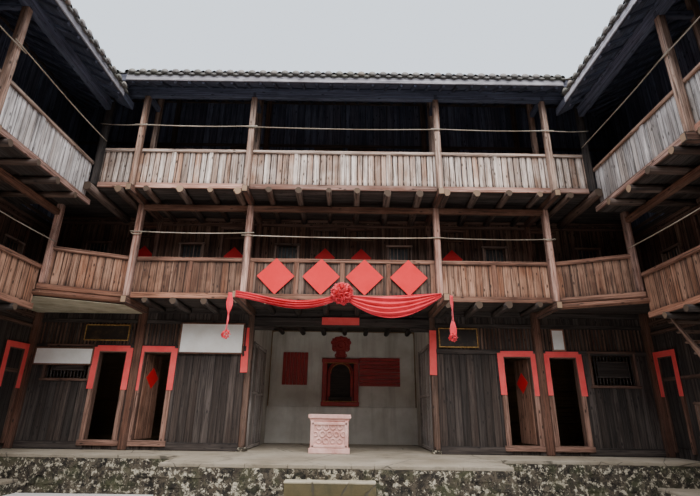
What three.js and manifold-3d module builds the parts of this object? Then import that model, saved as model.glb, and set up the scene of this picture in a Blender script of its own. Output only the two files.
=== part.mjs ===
import * as THREE from "three";
import { mergeVertices } from "three/addons/utils/BufferGeometryUtils.js";
import Module from "manifold-3d";

// Fortified courtyard house of rammed earth and timber, square in plan, three storeys high.
// Millimetres, +Z up. The origin is on the ground at the middle of the court, +Y towards the hall.
// Each wing is drawn in its own frame: x along the wing, y outwards from the court, z up.

const wasm = await Module();
wasm.setup();

// Driving dimensions
const fit = 0.3; // gap between pieces that rest on each other
const past = 10; // cutters and joined pieces run this far past a face
const tall = 20000; // higher than the whole house
const earthWall = { inside: 10950, outside: 12150 };
const roomFront = { face: 7700, back: 7820 }; // boarded front of the rooms
const galleryEdge = { second: 6600, third: 5920 }; // each gallery reaches further into the court
const backRise = 460; // the hall wing stands this much higher than the others
const floorTop = { ground: 240, second: 3680, third: 6160 }; // in the three lower wings
const deck = 120; // floor boards and joists under them
const beam = { deep: 160, wide: 120, nose: 60, longNose: 80 }; // cantilevers under the gallery posts
const post = 140;
const plate = { deep: 140 }; // long beam on the second-floor posts, under the third-floor cantilevers
const eavePlate = { low: 8540, tieHalf: 50, tieHigh: 150 }; // on the third-floor posts
const railing = { second: 880, third: 940, rail: 90, railWide: 90, board: 40, lip: 20, inset: 10 };
const roof = { eaveIn: 5250, eaveOut: 13750, under: 8560, slope: 0.53, thick: 200 };
const tile = { spacing: 262, wide: 150, crown: 76, pan: 30, high: 105 }; // cover tiles on a sheet of pans
const ridgeRoll = { wide: 240, high: 200, low: -80 };
const middlePosts = [-2270, 2270];
const outerPosts = [-4950, 4950];
const longPosts = [outerPosts[0], ...middlePosts, outerPosts[1]]; // hall wing and gate wing
const shortPosts = [-2720, 0, 2720]; // side wings
const cantedCorner = { start: 5021, along: 6600, out: 5850, railIn: 60, railOut: 30 }; // canted gallery bays
const sealedDoor = { wide: 660, high: 1900, sill: 150 };
const roomWindow = { wide: 570, high: 650, sill: 950 };
const groundDoor = { wide: 660, high: 2000, sill: 200 };
const lattice = { from: 6100, to: 7160, sill: 1560, high: 770 };
const outerWindow = { wide: 520, high: 640, sill: 7300, at: [-8000, -4000, 0, 4000, 8000] };
const gateway = { wide: 2000, high: 2950 };
const passage = { wide: 2600, high: 3050, windows: [-4020, 4020], windowHigh: 750 };
const plinth = { top: floorTop.ground + backRise, front: 5030, frontHalf: 3100, setBack: 6400 };
const steps = { count: 2, wide: 1500, tread: 280, middle: -100 };
const hall = { half: 2270, lintelLow: 3600, lintelHigh: 3830, wall: 120, postBehind: 40 };
const doorLeaf = { thick: 40, edge: 20, reach: 610, lift: 25, open: 78 };
const doorPin = { radius: 14, sides: 16, fromJamb: 35, fromBack: 40 };
const beamNose = 5800; // the two cantilevers that carry the festoon reach this far into the court
const leftDoor = -4480;
const rightDoor = 4300;
const openDoors = { left: -5570, right: 5410 };

// Materials
const colours = {
  earth: ["#b79a74", 0.95],
  stone: ["#8e877b", 0.9],
  darkTimber: ["#4a3629", 0.85],
  warmTimber: ["#7d5b43", 0.8],
  greyTimber: ["#a8937c", 0.85],
  tile: ["#4d4b4a", 0.9],
  plaster: ["#d9d4c8", 0.9],
  redPaper: ["#d8433c", 0.8],
  redCloth: ["#c9302c", 0.75],
  carvedStone: ["#c39a86", 0.8],
};
const finish = (name) =>
  new THREE.MeshStandardMaterial({ color: colours[name][0], roughness: colours[name][1], metalness: 0 });

// Solids
const weld = 1e-3;

function solidOf(geometry) {
  const bare = geometry.clone();
  bare.deleteAttribute("normal");
  bare.deleteAttribute("uv");
  const merged = mergeVertices(bare, weld);
  return new wasm.Manifold(
    new wasm.Mesh({
      numProp: 3,
      vertProperties: merged.attributes.position.array,
      triVerts: new Uint32Array(merged.index.array),
    }),
  );
}

function geometryOf(solid) {
  const made = solid.getMesh();
  const geometry = new THREE.BufferGeometry();
  geometry.setAttribute("position", new THREE.BufferAttribute(made.vertProperties, 3));
  geometry.setIndex(new THREE.BufferAttribute(made.triVerts, 1));
  geometry.computeVertexNormals();
  return geometry;
}

const join = (solids) => solids.reduce((whole, next) => whole.add(next));
const cut = (solid, holes) => holes.reduce((whole, hole) => whole.subtract(hole), solid);

function block(x0, x1, y0, y1, z0, z1) {
  const geometry = new THREE.BoxGeometry(x1 - x0, y1 - y0, z1 - z0);
  geometry.translate((x0 + x1) / 2, (y0 + y1) / 2, (z0 + z1) / 2);
  return solidOf(geometry);
}

function outline(points) {
  return new THREE.Shape(points.map(([x, y]) => new THREE.Vector2(x, y)));
}

function extrudeUp(points, z0, z1) {
  const geometry = new THREE.ExtrudeGeometry(outline(points), { depth: z1 - z0, bevelEnabled: false });
  geometry.translate(0, 0, z0);
  return solidOf(geometry);
}

// A profile of (y, z) points carried along x.
function extrudeAlongX(points, x0, x1) {
  const geometry = new THREE.ExtrudeGeometry(outline(points), { depth: x1 - x0, bevelEnabled: false });
  geometry.rotateX(Math.PI / 2);
  geometry.rotateZ(Math.PI / 2);
  geometry.translate(x0, 0, 0);
  return solidOf(geometry);
}

// A profile of (x, z) points carried along y.
function extrudeAlongY(points, y0, y1) {
  const geometry = new THREE.ExtrudeGeometry(outline(points), { depth: y1 - y0, bevelEnabled: false });
  geometry.rotateX(Math.PI / 2);
  geometry.translate(0, y1, 0);
  return solidOf(geometry);
}

function placed(name, solid, material) {
  const mesh = new THREE.Mesh(geometryOf(solid), finish(material));
  mesh.name = name;
  return mesh;
}

// A stretch of balustrade from one plan point to another: close boards under a handrail.
function balustrade(from, to, floor, height) {
  const length = Math.hypot(to[0] - from[0], to[1] - from[1]);
  const rail = new THREE.BoxGeometry(length, railing.railWide, railing.rail);
  rail.translate(length / 2, railing.railWide / 2 - railing.lip, height - railing.rail / 2);
  const boardHigh = height - railing.rail + past;
  const boards = new THREE.BoxGeometry(length, railing.board, boardHigh - fit);
  boards.translate(length / 2, railing.board / 2 + railing.inset, boardHigh / 2 + fit / 2);
  const turned = [rail, boards].map((geometry) => {
    geometry.rotateZ(Math.atan2(to[1] - from[1], to[0] - from[0]));
    geometry.translate(from[0], from[1], floor);
    return solidOf(geometry);
  });
  return join(turned);
}

// A gallery post stands on the end of its cantilever, in front of the floor's edge.
function galleryPost(along, edge, bottom, top) {
  return block(along - post / 2, along + post / 2, edge - post, edge - fit, bottom + fit, top - fit);
}

const roofUnder = (out) => roof.under + roof.slope * (out - roof.eaveIn);

// Floors

function floorHoles(posts, bottom, top) {
  return posts.map((along) =>
    block(
      along - post / 2 - fit,
      along + post / 2 + fit,
      roomFront.face - fit,
      roomFront.back + fit,
      bottom - past,
      top + past,
    ),
  );
}

function cantilevers(posts, reach, floor) {
  const top = floor - deck;
  return posts.map((along) =>
    block(along - beam.wide / 2, along + beam.wide / 2, reach, roomFront.face - fit, top - beam.deep, top),
  );
}

function longFloor(edgePoints, posts, beams, floor) {
  const inside = earthWall.inside - fit;
  const half = roomFront.face - fit;
  const points = [
    [-inside, inside],
    [-inside, half],
    [-half, half],
    ...edgePoints,
    [half, half],
    [inside, half],
    [inside, inside],
  ];
  const slab = extrudeUp(points, floor - deck, floor);
  return cut(join([slab, ...beams]), floorHoles(posts, floor - deck - beam.deep, floor));
}

function shortFloor(edge, end, floor, beams, stairWell) {
  const inside = earthWall.inside - fit;
  const half = roomFront.face - 2 * fit;
  const stop = end - fit;
  const points = [
    [-half, inside],
    [-half, roomFront.face],
    [-stop, roomFront.face],
    [-stop, edge],
    [stop, edge],
    [stop, roomFront.face],
    [half, roomFront.face],
    [half, inside],
  ];
  const slab = extrudeUp(points, floor - deck, floor);
  const holes = floorHoles(shortPosts, floor - deck - beam.deep, floor);
  if (stairWell) {
    const { from, to } = stairWell;
    holes.push(block(from, to, stair.inner, stair.outer, floor - deck - past, floor + past));
  }
  return cut(join([slab, ...beams]), holes);
}

// Room fronts: boarded strips on each floor, joined by the posts that run through the floors.

function frontHole(from, to, low, high) {
  return block(from, to, roomFront.face - past, roomFront.back + past, low, high);
}

function doorHole(along, floor, door) {
  const low = floor + door.sill;
  return frontHole(along - door.wide / 2, along + door.wide / 2, low, low + door.high);
}

function windowHole(along, floor, high) {
  const low = floor + roomWindow.sill;
  return frontHole(along - roomWindow.wide / 2, along + roomWindow.wide / 2, low, low + high);
}

function upperHoles(doors, windows, floor) {
  return [
    ...doors.map((along) => doorHole(along, floor, sealedDoor)),
    ...windows.map((along) => windowHole(along, floor, roomWindow.high)),
  ];
}

function roomFrontStrips(half, levels, posts, holes) {
  const top = roofUnder(roomFront.face) - fit;
  const strips = levels.map(([low, high]) =>
    block(-half, half, roomFront.face, roomFront.back, low + fit, Math.min(high - fit, top)),
  );
  const bottom = levels[0][0] + fit;
  const studs = posts.map((along) =>
    block(along - post / 2, along + post / 2, roomFront.face, roomFront.back, bottom, top),
  );
  return cut(join([...strips, ...studs]), holes);
}

const storeys = {
  ground: [floorTop.ground, floorTop.second - deck],
  second: [floorTop.second, floorTop.third - deck],
  third: [floorTop.third, Infinity],
};

const longDoors = [-5280, -2890, -480, 480, 2890, 5280];
const longWindows = [-6500, -4020, -1490, 1490, 4020, 6500];
const shortDoors = [-5000, -3350, -600, 600, 3350, 5000];
const shortWindows = [-6300, -4180, -1650, 1650, 4180, 6300];

// Galleries

// Posts of the second-floor gallery under their plate beam
function secondPosts(posts, ends) {
  const edge = galleryEdge.second;
  const top = floorTop.third - deck - beam.deep;
  const plateBeam = block(-ends, ends, edge - post, edge - fit, top - plate.deep, top - fit);
  return join([plateBeam, ...posts.map((along) => galleryPost(along, edge, floorTop.second - deck, top))]);
}

// Balustrade of a side wing, its handrail housed round the posts
function secondBalustrade(posts, ends) {
  const edge = galleryEdge.second;
  const floor = floorTop.second;
  const half = post / 2 + fit;
  const stretch = balustrade([-ends, edge], [ends, edge], floor, railing.second);
  const housings = posts.map((along) =>
    block(along - half, along + half, edge - post, edge, floor - past, floor + railing.second + past),
  );
  return cut(stretch, housings);
}

// Gallery of a long wing: its canted rails hold the corner posts
function cantedGallery(drop) {
  const { start, along, out, railIn, railOut } = cantedCorner;
  const edge = galleryEdge.second;
  const floor = floorTop.second;
  const pieces = [
    secondPosts(longPosts, start),
    balustrade([-start, edge], [start, edge], floor, railing.second),
  ];
  for (const side of [-1, 1]) {
    const inner = [side * start, edge];
    const outer = [side * (along - railIn), out + railOut];
    const stretch = side > 0 ? [inner, outer] : [outer, inner];
    pieces.push(balustrade(...stretch, floor, railing.second));
    const low = Math.min(side * along, side * (along - post));
    const tip = floorTop.third - deck - drop - fit;
    pieces.push(block(low, low + post, out, out + post, floor + fit, tip));
  }
  return join(pieces);
}

function thirdGallery(posts, ends, floor) {
  const edge = galleryEdge.third;
  const { low, tieHalf, tieHigh } = eavePlate;
  const high = roofUnder(edge - post) - fit;
  const innerEdge = galleryEdge.second;
  const pieces = [
    balustrade([-ends, edge], [ends, edge], floor, railing.third),
    block(-ends, ends, edge - post, edge - fit, low, high),
  ];
  for (const along of posts) {
    pieces.push(galleryPost(along, edge, floor - deck, low + past));
    pieces.push(block(along - tieHalf, along + tieHalf, edge - post, innerEdge, low, low + tieHigh));
    const tip = roofUnder(innerEdge - post) - fit;
    pieces.push(block(along - post / 2, along + post / 2, innerEdge - post, innerEdge, floor + fit, tip));
  }
  return join(pieces);
}

// Corner posts of the third-floor gallery belong to the long wings.
function thirdCorners(floor) {
  const edge = galleryEdge.third;
  const top = roofUnder(edge - post) - fit;
  return [-1, 1].map((side) => {
    const x = [side * (edge - fit), side * (edge - post)].sort((a, b) => a - b);
    return block(...x, edge - post, edge - fit, floor - deck + fit, top);
  });
}

// Stairs

const stair = { inner: 6820, outer: 7620, count: 14, tread: 45, string: 50, overlap: 40, housing: 20 };
const string = { foot: 260, head: 60, deep: 330, toe: 200 };

// A straight flight between two side strings, rising along +x or -x.
function flight(foot, head) {
  const rise = (floorTop.second - floorTop.ground) / (stair.count + 1);
  const run = (head - foot) / (stair.count + 1);
  const ahead = Math.sign(head - foot);
  const deep = Math.abs(run) + stair.overlap;
  const y0 = stair.inner + stair.housing;
  const y1 = stair.outer - stair.housing;
  const pieces = [];
  for (let i = 1; i <= stair.count; i++) {
    const top = floorTop.ground + rise * i;
    const x0 = foot + run * (i - 0.5);
    const x1 = x0 + ahead * deep;
    pieces.push(block(Math.min(x0, x1), Math.max(x0, x1), y0, y1, top - stair.tread, top));
  }
  const low = floorTop.ground + fit;
  const high = floorTop.second;
  const side = [
    [foot, low],
    [foot + ahead * string.foot, low],
    [head - ahead * fit, high - string.deep],
    [head - ahead * fit, high],
    [head - ahead * string.head, high],
    [foot, low + string.toe],
  ];
  const profile = ahead > 0 ? side : side.reverse();
  for (const near of [stair.inner + fit, stair.outer - stair.string - fit]) {
    pieces.push(extrudeAlongY(profile, near, near + stair.string));
  }
  return join(pieces);
}

// Roofs

const ridgeRun = (roof.eaveOut - roof.eaveIn) / 2;
const ridgeAt = roof.eaveIn + ridgeRun;

// Cross-section of a roof over a wing: two slopes of even thickness meeting at the ridge.
function roofSection() {
  const low = roof.under;
  const high = roof.under + roof.thick;
  const rise = roof.slope * ridgeRun;
  return [
    [roof.eaveIn, low],
    [ridgeAt, low + rise],
    [roof.eaveOut, low],
    [roof.eaveOut, high],
    [ridgeAt, high + rise],
    [roof.eaveIn, high],
  ];
}

function mitred(keep) {
  const far = roof.eaveOut + past;
  return extrudeAlongX(roofSection(), -far, far).intersect(extrudeUp(keep, 0, tall));
}

// Where the raised hall roof and a lower side roof cross: their slopes meet this far apart in plan.
const offset = backRise / roof.slope;
const tongue = { to: 5660, end: galleryEdge.third - post - fit };

// The side roofs end in a point against the hall roof, and their eaves run on under its eave.
function sideRoofPlan(mirror) {
  const near = roof.eaveIn - fit;
  const points = [
    [-roof.eaveOut + fit, roof.eaveOut],
    [near, roof.eaveOut],
    [near, roof.eaveOut + roof.eaveIn - offset - near],
    [ridgeAt - offset - fit, ridgeAt],
    [near, near + offset],
    [near, tongue.to],
    [tongue.end, tongue.to],
    [tongue.end, roof.eaveIn],
    [-roof.eaveIn + fit, roof.eaveIn],
  ];
  return mirror ? points.map(([x, y]) => [-x, y]).reverse() : points;
}

function gateRoofPlan() {
  return [
    [-roof.eaveIn, roof.eaveIn],
    [roof.eaveIn, roof.eaveIn],
    [roof.eaveOut, roof.eaveOut],
    [-roof.eaveOut, roof.eaveOut],
  ];
}

// The hall roof is hipped at its outer ends: the shell between the roof's top and its underside.
const spread = 1000; // the underside runs on past the eaves, so that they stay open
const apex = roof.under + roof.slope * ridgeRun;
const roofTop = roof.under + roof.thick;

function hippedVolume(across, along) {
  const far = roof.eaveOut + 2 * spread;
  return extrudeAlongX(across, -far, far).intersect(extrudeAlongY(along, roof.eaveIn - 2 * spread, far));
}

// What lies under the top of a roof, across it, out to a distance beyond its eaves
function underTop(reach) {
  const edge = roofTop - roof.slope * reach;
  return [
    [roof.eaveIn - reach, roof.under],
    [roof.eaveOut + reach, roof.under],
    [roof.eaveOut + reach, edge],
    [ridgeAt, apex + roof.thick],
    [roof.eaveIn - reach, edge],
  ];
}

function underHallTop(reach) {
  const edge = roofTop - roof.slope * reach;
  const along = [
    [-roof.eaveOut - reach, roof.under],
    [roof.eaveOut + reach, roof.under],
    [roof.eaveOut + reach, edge],
    [ridgeAt, apex + roof.thick],
    [-ridgeAt, apex + roof.thick],
    [-roof.eaveOut - reach, edge],
  ];
  return hippedVolume(underTop(reach), along);
}

function hallRoof() {
  const low = roof.under - roof.slope * spread;
  const underAcross = [
    [roof.eaveIn - spread, low],
    [roof.eaveOut + spread, low],
    [ridgeAt, apex],
  ];
  const underAlong = [
    [-roof.eaveOut - spread, low],
    [roof.eaveOut + spread, low],
    [ridgeAt, apex],
    [-ridgeAt, apex],
  ];
  const shell = underHallTop(0).subtract(hippedVolume(underAcross, underAlong));
  return cut(shell, sideRoofsInHall());
}

// Where the side roofs stand higher than the hall roof's inner slope
function sideRoofsInHall() {
  return [1, -1].map((side) => {
    const points = [
      [side * (roof.eaveIn + offset), roof.eaveIn - past],
      [side * (roof.eaveOut - offset), roof.eaveIn - past],
      [side * (roof.eaveOut - offset), roof.eaveIn],
      [side * ridgeAt, ridgeAt - offset],
      [side * (roof.eaveIn + offset), roof.eaveIn],
    ];
    return extrudeUp(side > 0 ? points : points.reverse(), 0, tall);
  });
}

// Tiles: a skin of pans with a rib for each row of cover tiles, and rolls along ridges and hips
function tileSection(half) {
  const count = Math.floor((half - tile.wide) / tile.spacing);
  const points = [[-half, fit], [half, fit], [half, tile.pan]];
  for (let i = count; i >= -count; i--) {
    const x = i * tile.spacing;
    points.push([x + tile.wide / 2, tile.pan], [x + tile.crown / 2, tile.high]);
    points.push([x - tile.crown / 2, tile.high], [x - tile.wide / 2, tile.pan]);
  }
  points.push([-half, tile.pan]);
  return points;
}

// The skin of one slope, from its eave up to the ridge. It rises along +y.
function tiledSlope(half) {
  const flat = extrudeAlongY(tileSection(half), 0, ridgeRun);
  const leaning = [1, 0, 0, 0, 0, 1, roof.slope, 0, 0, 0, 1, 0, 0, roof.eaveIn, roofTop, 1];
  return flat.transform(leaning);
}

// A roll along a ridge or hip, between two plan points that may stand at the eave or at the ridge
function roll(from, to) {
  const at = ([x, y, share]) => new THREE.Vector3(x, y, roofTop + roof.slope * ridgeRun * share);
  const [start, end] = [at(from), at(to)];
  const run = end.clone().sub(start);
  const { wide, high, low } = ridgeRoll;
  const geometry = new THREE.BoxGeometry(run.length() + 2 * past, wide, high - low);
  geometry.translate(0, 0, (high + low) / 2);
  geometry.rotateY(-Math.asin(run.z / run.length()));
  geometry.rotateZ(Math.atan2(run.y, run.x));
  const middle = start.add(end).multiplyScalar(1 / 2);
  geometry.translate(middle.x, middle.y, middle.z);
  return solidOf(geometry);
}

const turnOver = (solid) => solid.rotate([0, 0, 180]).translate([0, roof.eaveIn + roof.eaveOut, 0]);

const raised = (solid) => solid.translate([0, 0, fit]);

// A roll's foot is cut off at the roof's top, and a little beyond the eaves, where the plan then ends it.
function tiled(keep, rolls) {
  const far = roof.eaveOut + past;
  const slope = tiledSlope(far);
  const clear = join(rolls).subtract(raised(extrudeAlongX(underTop(past), -far, far)));
  return join([slope, turnOver(slope), clear]).intersect(extrudeUp(keep, 0, tall));
}

function gateTiles() {
  const { eaveOut } = roof;
  const hips = [-1, 1].map((side) => roll([side * ridgeAt, ridgeAt, 1], [side * eaveOut, eaveOut, 0]));
  return tiled(gateRoofPlan(), [roll([-ridgeAt, ridgeAt, 1], [ridgeAt, ridgeAt, 1]), ...hips]);
}

// The tiles of a side roof stop short of the tongue under the hall's eave.
function sideTiles(mirror) {
  const plan = sideRoofPlan(false).filter(([x, y]) => y !== tongue.to && x !== tongue.end);
  const near = roof.eaveIn - fit;
  plan.splice(plan.length - 1, 0, [near, roof.eaveIn]);
  const rolls = [
    roll([-ridgeAt, ridgeAt, 1], [ridgeAt - offset, ridgeAt, 1]),
    roll([-ridgeAt, ridgeAt, 1], [-roof.eaveOut, roof.eaveOut, 0]),
  ];
  const tiles = tiled(plan, rolls);
  return mirror ? tiles.mirror([1, 0, 0]) : tiles;
}

function hallTiles() {
  const { eaveIn, eaveOut } = roof;
  const slope = tiledSlope(eaveOut + past);
  const endSlope = tiledSlope(ridgeRun + past).translate([0, -eaveIn, 0]);
  const between = (points) => extrudeUp(points, 0, tall);
  const ridgeEnds = [[ridgeAt, ridgeAt], [-ridgeAt, ridgeAt]];
  const pieces = [
    slope.intersect(between([[-eaveOut, eaveIn], [eaveOut, eaveIn], ...ridgeEnds])),
    turnOver(slope).intersect(between([[eaveOut, eaveOut], [-eaveOut, eaveOut], ...ridgeEnds.toReversed()])),
  ];
  const rolls = [roll([-ridgeAt, ridgeAt, 1], [ridgeAt, ridgeAt, 1])];
  for (const side of [-1, 1]) {
    const turned = endSlope.rotate([0, 0, side * 90]).translate([side * eaveOut, ridgeAt, 0]);
    const corner = [[side * ridgeAt, ridgeAt], [side * eaveOut, eaveIn], [side * eaveOut, eaveOut]];
    pieces.push(turned.intersect(between(side > 0 ? corner : corner.reverse())));
    rolls.push(roll([side * ridgeAt, ridgeAt, 1], [side * eaveOut, eaveOut, 0]));
    rolls.push(roll([side * ridgeAt, ridgeAt, 1], [side * eaveOut, eaveIn, 0]));
  }
  pieces.push(join(rolls).subtract(raised(underHallTop(past))));
  const whole = between([[-eaveOut, eaveIn], [eaveOut, eaveIn], [eaveOut, eaveOut], [-eaveOut, eaveOut]]);
  return cut(join(pieces).intersect(whole), sideRoofsInHall());
}

// Earth walls

function outerHoles() {
  const { wide, high, sill, at } = outerWindow;
  const y0 = earthWall.inside - past;
  const y1 = earthWall.outside + past;
  return at.map((along) => block(along - wide / 2, along + wide / 2, y0, y1, sill, sill + high));
}

const wallTop = roofUnder(roof.eaveIn + roof.eaveOut - earthWall.outside) - fit;

function longEarthWall(high) {
  const out = earthWall.outside;
  return cut(block(-out, out, earthWall.inside, out, 0, high), outerHoles());
}

// The side walls step up under the hall roof, at the end given by the sign of towards.
const stepClear = 60;

function shortEarthWall(towards) {
  const end = earthWall.inside - fit;
  const meet = roof.eaveIn + roof.eaveOut - earthWall.outside - offset;
  const profile = [
    [-end, 0],
    [end, 0],
    [end, wallTop + backRise],
    [meet + offset + stepClear, wallTop + backRise],
    [meet + stepClear, wallTop],
    [-end, wallTop],
  ];
  const wall = towards > 0 ? profile : profile.map(([x, z]) => [-x, z]).reverse();
  return cut(extrudeAlongY(wall, earthWall.inside, earthWall.outside), outerHoles());
}

// Wings: each group is turned so that its y points away from the court.
const house = new THREE.Group();

function wing(turn, rise) {
  const group = new THREE.Group();
  group.rotation.z = turn;
  group.position.z = rise;
  house.add(group);
  return group;
}

const hallWing = wing(0, backRise);
const leftWing = wing(Math.PI / 2, 0);
const gateWing = wing(Math.PI, 0);
const rightWing = wing(-Math.PI / 2, 0);

// Long wings: hall at the back, gate at the front
const secondEdgePoints = [
  [-roomFront.face + fit, cantedCorner.out],
  [-cantedCorner.along, cantedCorner.out],
  [-cantedCorner.start, galleryEdge.second],
  [cantedCorner.start, galleryEdge.second],
  [cantedCorner.along, cantedCorner.out],
  [roomFront.face - fit, cantedCorner.out],
];
const thirdEdgePoints = [
  [-roomFront.face + fit, galleryEdge.third],
  [roomFront.face - fit, galleryEdge.third],
];
const cornerBeams = [-galleryEdge.third + beam.wide / 2, galleryEdge.third - beam.wide / 2];
const secondReach = galleryEdge.second - post - beam.nose;
const thirdReach = galleryEdge.third - post - beam.longNose;

for (const [name, group] of [["hall", hallWing], ["gate", gateWing]]) {
  const second = floorTop.second;
  const third = floorTop.third;
  const secondBeams = [
    ...cantilevers(middlePosts, name === "hall" ? beamNose : secondReach, second),
    ...cantilevers(outerPosts, secondReach, second),
  ];
  const thirdBeams = cantilevers([...longPosts, ...cornerBeams], thirdReach, third);
  const drop = name === "hall" ? backRise : 0;
  const secondFloor = longFloor(secondEdgePoints, longPosts, secondBeams, second);
  const thirdFloor = longFloor(thirdEdgePoints, longPosts, thirdBeams, third);
  const thirdParts = [thirdGallery(longPosts, galleryEdge.third - past, third), ...thirdCorners(third)];
  group.add(
    placed(`${name}_wing_second_floor`, secondFloor, "darkTimber"),
    placed(`${name}_wing_third_floor`, thirdFloor, "darkTimber"),
    placed(`${name}_wing_second_gallery`, cantedGallery(drop), "warmTimber"),
    placed(`${name}_wing_third_gallery`, join(thirdParts), "greyTimber"),
  );
}

const upper = [
  ...upperHoles(longDoors, longWindows, floorTop.second),
  ...upperHoles(longDoors, longWindows, floorTop.third),
];
hallWing.add(
  placed(
    "hall_wing_upper_room_front",
    roomFrontStrips(roomFront.back, [storeys.second, storeys.third], longPosts, upper),
    "darkTimber",
  ),
  placed("hall_wing_roof", hallRoof(), "darkTimber"),
  placed("hall_wing_roof_tiles", hallTiles(), "tile"),
);
const passageHalf = passage.wide / 2;
const gateDoors = longDoors.filter((along) => Math.abs(along) > passageHalf);
const gateFrontHoles = [
  ...upper,
  ...gateDoors.map((along) => doorHole(along, floorTop.ground, groundDoor)),
  ...passage.windows.map((along) => windowHole(along, floorTop.ground, passage.windowHigh)),
  frontHole(-passageHalf, passageHalf, 0, floorTop.ground + passage.high),
];
gateWing.add(
  placed(
    "gate_wing_room_front",
    roomFrontStrips(roomFront.back, Object.values(storeys), longPosts, gateFrontHoles),
    "darkTimber",
  ),
  placed("gate_wing_roof", mitred(gateRoofPlan()), "darkTimber"),
  placed("gate_wing_roof_tiles", gateTiles(), "tile"),
);

// Side wings
const shortHoles = ["ground", "second", "third"].flatMap((level) =>
  upperHoles(shortDoors, shortWindows, floorTop[level]),
);
const wells = {
  left: { from: 2900, to: 4900, foot: 6100, head: 2900 },
  right: { from: -5750, to: -3900, foot: -3150, head: -5750 },
};
for (const [name, group] of [["left", leftWing], ["right", rightWing]]) {
  const second = floorTop.second;
  const third = floorTop.third;
  const well = wells[name];
  const onPlinth = [plinth.setBack - fit, roomFront.back];
  const hallEnd = name === "left" ? onPlinth : onPlinth.map((along) => -along).reverse();
  const overPlinth = frontHole(...hallEnd, 0, plinth.top + fit);
  const secondBeams = cantilevers(shortPosts, secondReach, second);
  const thirdBeams = cantilevers(shortPosts, thirdReach, third);
  const secondFloor = shortFloor(galleryEdge.second, cantedCorner.out, second, secondBeams, well);
  const thirdFloor = shortFloor(galleryEdge.third, galleryEdge.third, third, thirdBeams);
  const secondEnds = cantedCorner.out - fit;
  const thirdParts = thirdGallery(shortPosts, galleryEdge.third - post - fit, third);
  const frontHoles = [...shortHoles, overPlinth];
  const front = roomFrontStrips(roomFront.face - fit, Object.values(storeys), shortPosts, frontHoles);
  group.add(
    placed(`${name}_wing_second_floor`, secondFloor, "darkTimber"),
    placed(`${name}_wing_third_floor`, thirdFloor, "darkTimber"),
    placed(`${name}_wing_second_posts`, secondPosts(shortPosts, secondEnds), "warmTimber"),
    placed(`${name}_wing_second_balustrade`, secondBalustrade(shortPosts, secondEnds), "warmTimber"),
    placed(`${name}_wing_third_gallery`, thirdParts, "greyTimber"),
    placed(`${name}_wing_room_front`, front, "darkTimber"),
    placed(`${name}_wing_roof`, mitred(sideRoofPlan(name === "right")), "darkTimber"),
    placed(`${name}_wing_roof_tiles`, sideTiles(name === "right"), "tile"),
    placed(`${name}_stair`, flight(well.foot, well.head), "greyTimber"),
    placed(`${name}_earth_wall`, shortEarthWall(name === "left" ? 1 : -1), "earth"),
  );
}

// Outer walls of the long wings, stone floors and steps stand on the ground itself.
house.add(placed("hall_earth_wall", longEarthWall(wallTop + backRise), "earth"));
const gatewayHole = block(
  -gateway.wide / 2,
  gateway.wide / 2,
  0,
  tall,
  floorTop.ground + fit,
  floorTop.ground + gateway.high,
);
gateWing.add(placed("gate_earth_wall", longEarthWall(wallTop).subtract(gatewayHole), "earth"));

// Stone floors
const inside = earthWall.inside - fit;
const plinthPlan = [
  [-inside, inside],
  [-inside, plinth.setBack],
  [-plinth.frontHalf, plinth.setBack],
  [-plinth.frontHalf, plinth.front],
  [plinth.frontHalf, plinth.front],
  [plinth.frontHalf, plinth.setBack],
  [inside, plinth.setBack],
  [inside, inside],
];
const stepRise = plinth.top / (steps.count + 1);
const stepBlocks = [];
for (let i = 1; i <= steps.count; i++) {
  const y0 = plinth.front - steps.tread * (steps.count + 1 - i);
  const x0 = steps.middle - steps.wide / 2;
  stepBlocks.push(block(x0, x0 + steps.wide, y0, plinth.front + past, 0, stepRise * i));
}
house.add(placed("hall_plinth", join([extrudeUp(plinthPlan, 0, plinth.top), ...stepBlocks]), "stone"));
function pavedFloor(half) {
  return block(-half, half, plinth.setBack, inside, 0, floorTop.ground);
}
leftWing.add(placed("left_wing_paved_floor", pavedFloor(plinth.setBack - fit), "stone"));
rightWing.add(placed("right_wing_paved_floor", pavedFloor(plinth.setBack - fit), "stone"));
gateWing.add(placed("gate_wing_paved_floor", pavedFloor(inside), "stone"));

// Ground floor of the hall wing, drawn at its own level: z = 0 is the court.
const base = plinth.top + fit;
const ceiling = floorTop.second + backRise - deck - fit;
const doorTop = plinth.top + groundDoor.sill + groundDoor.high;
const ends = roomFront.back;

function groundPanel(x0, x1, z0, z1) {
  return block(x0, x1, roomFront.face, roomFront.back, z0, z1);
}

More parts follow.
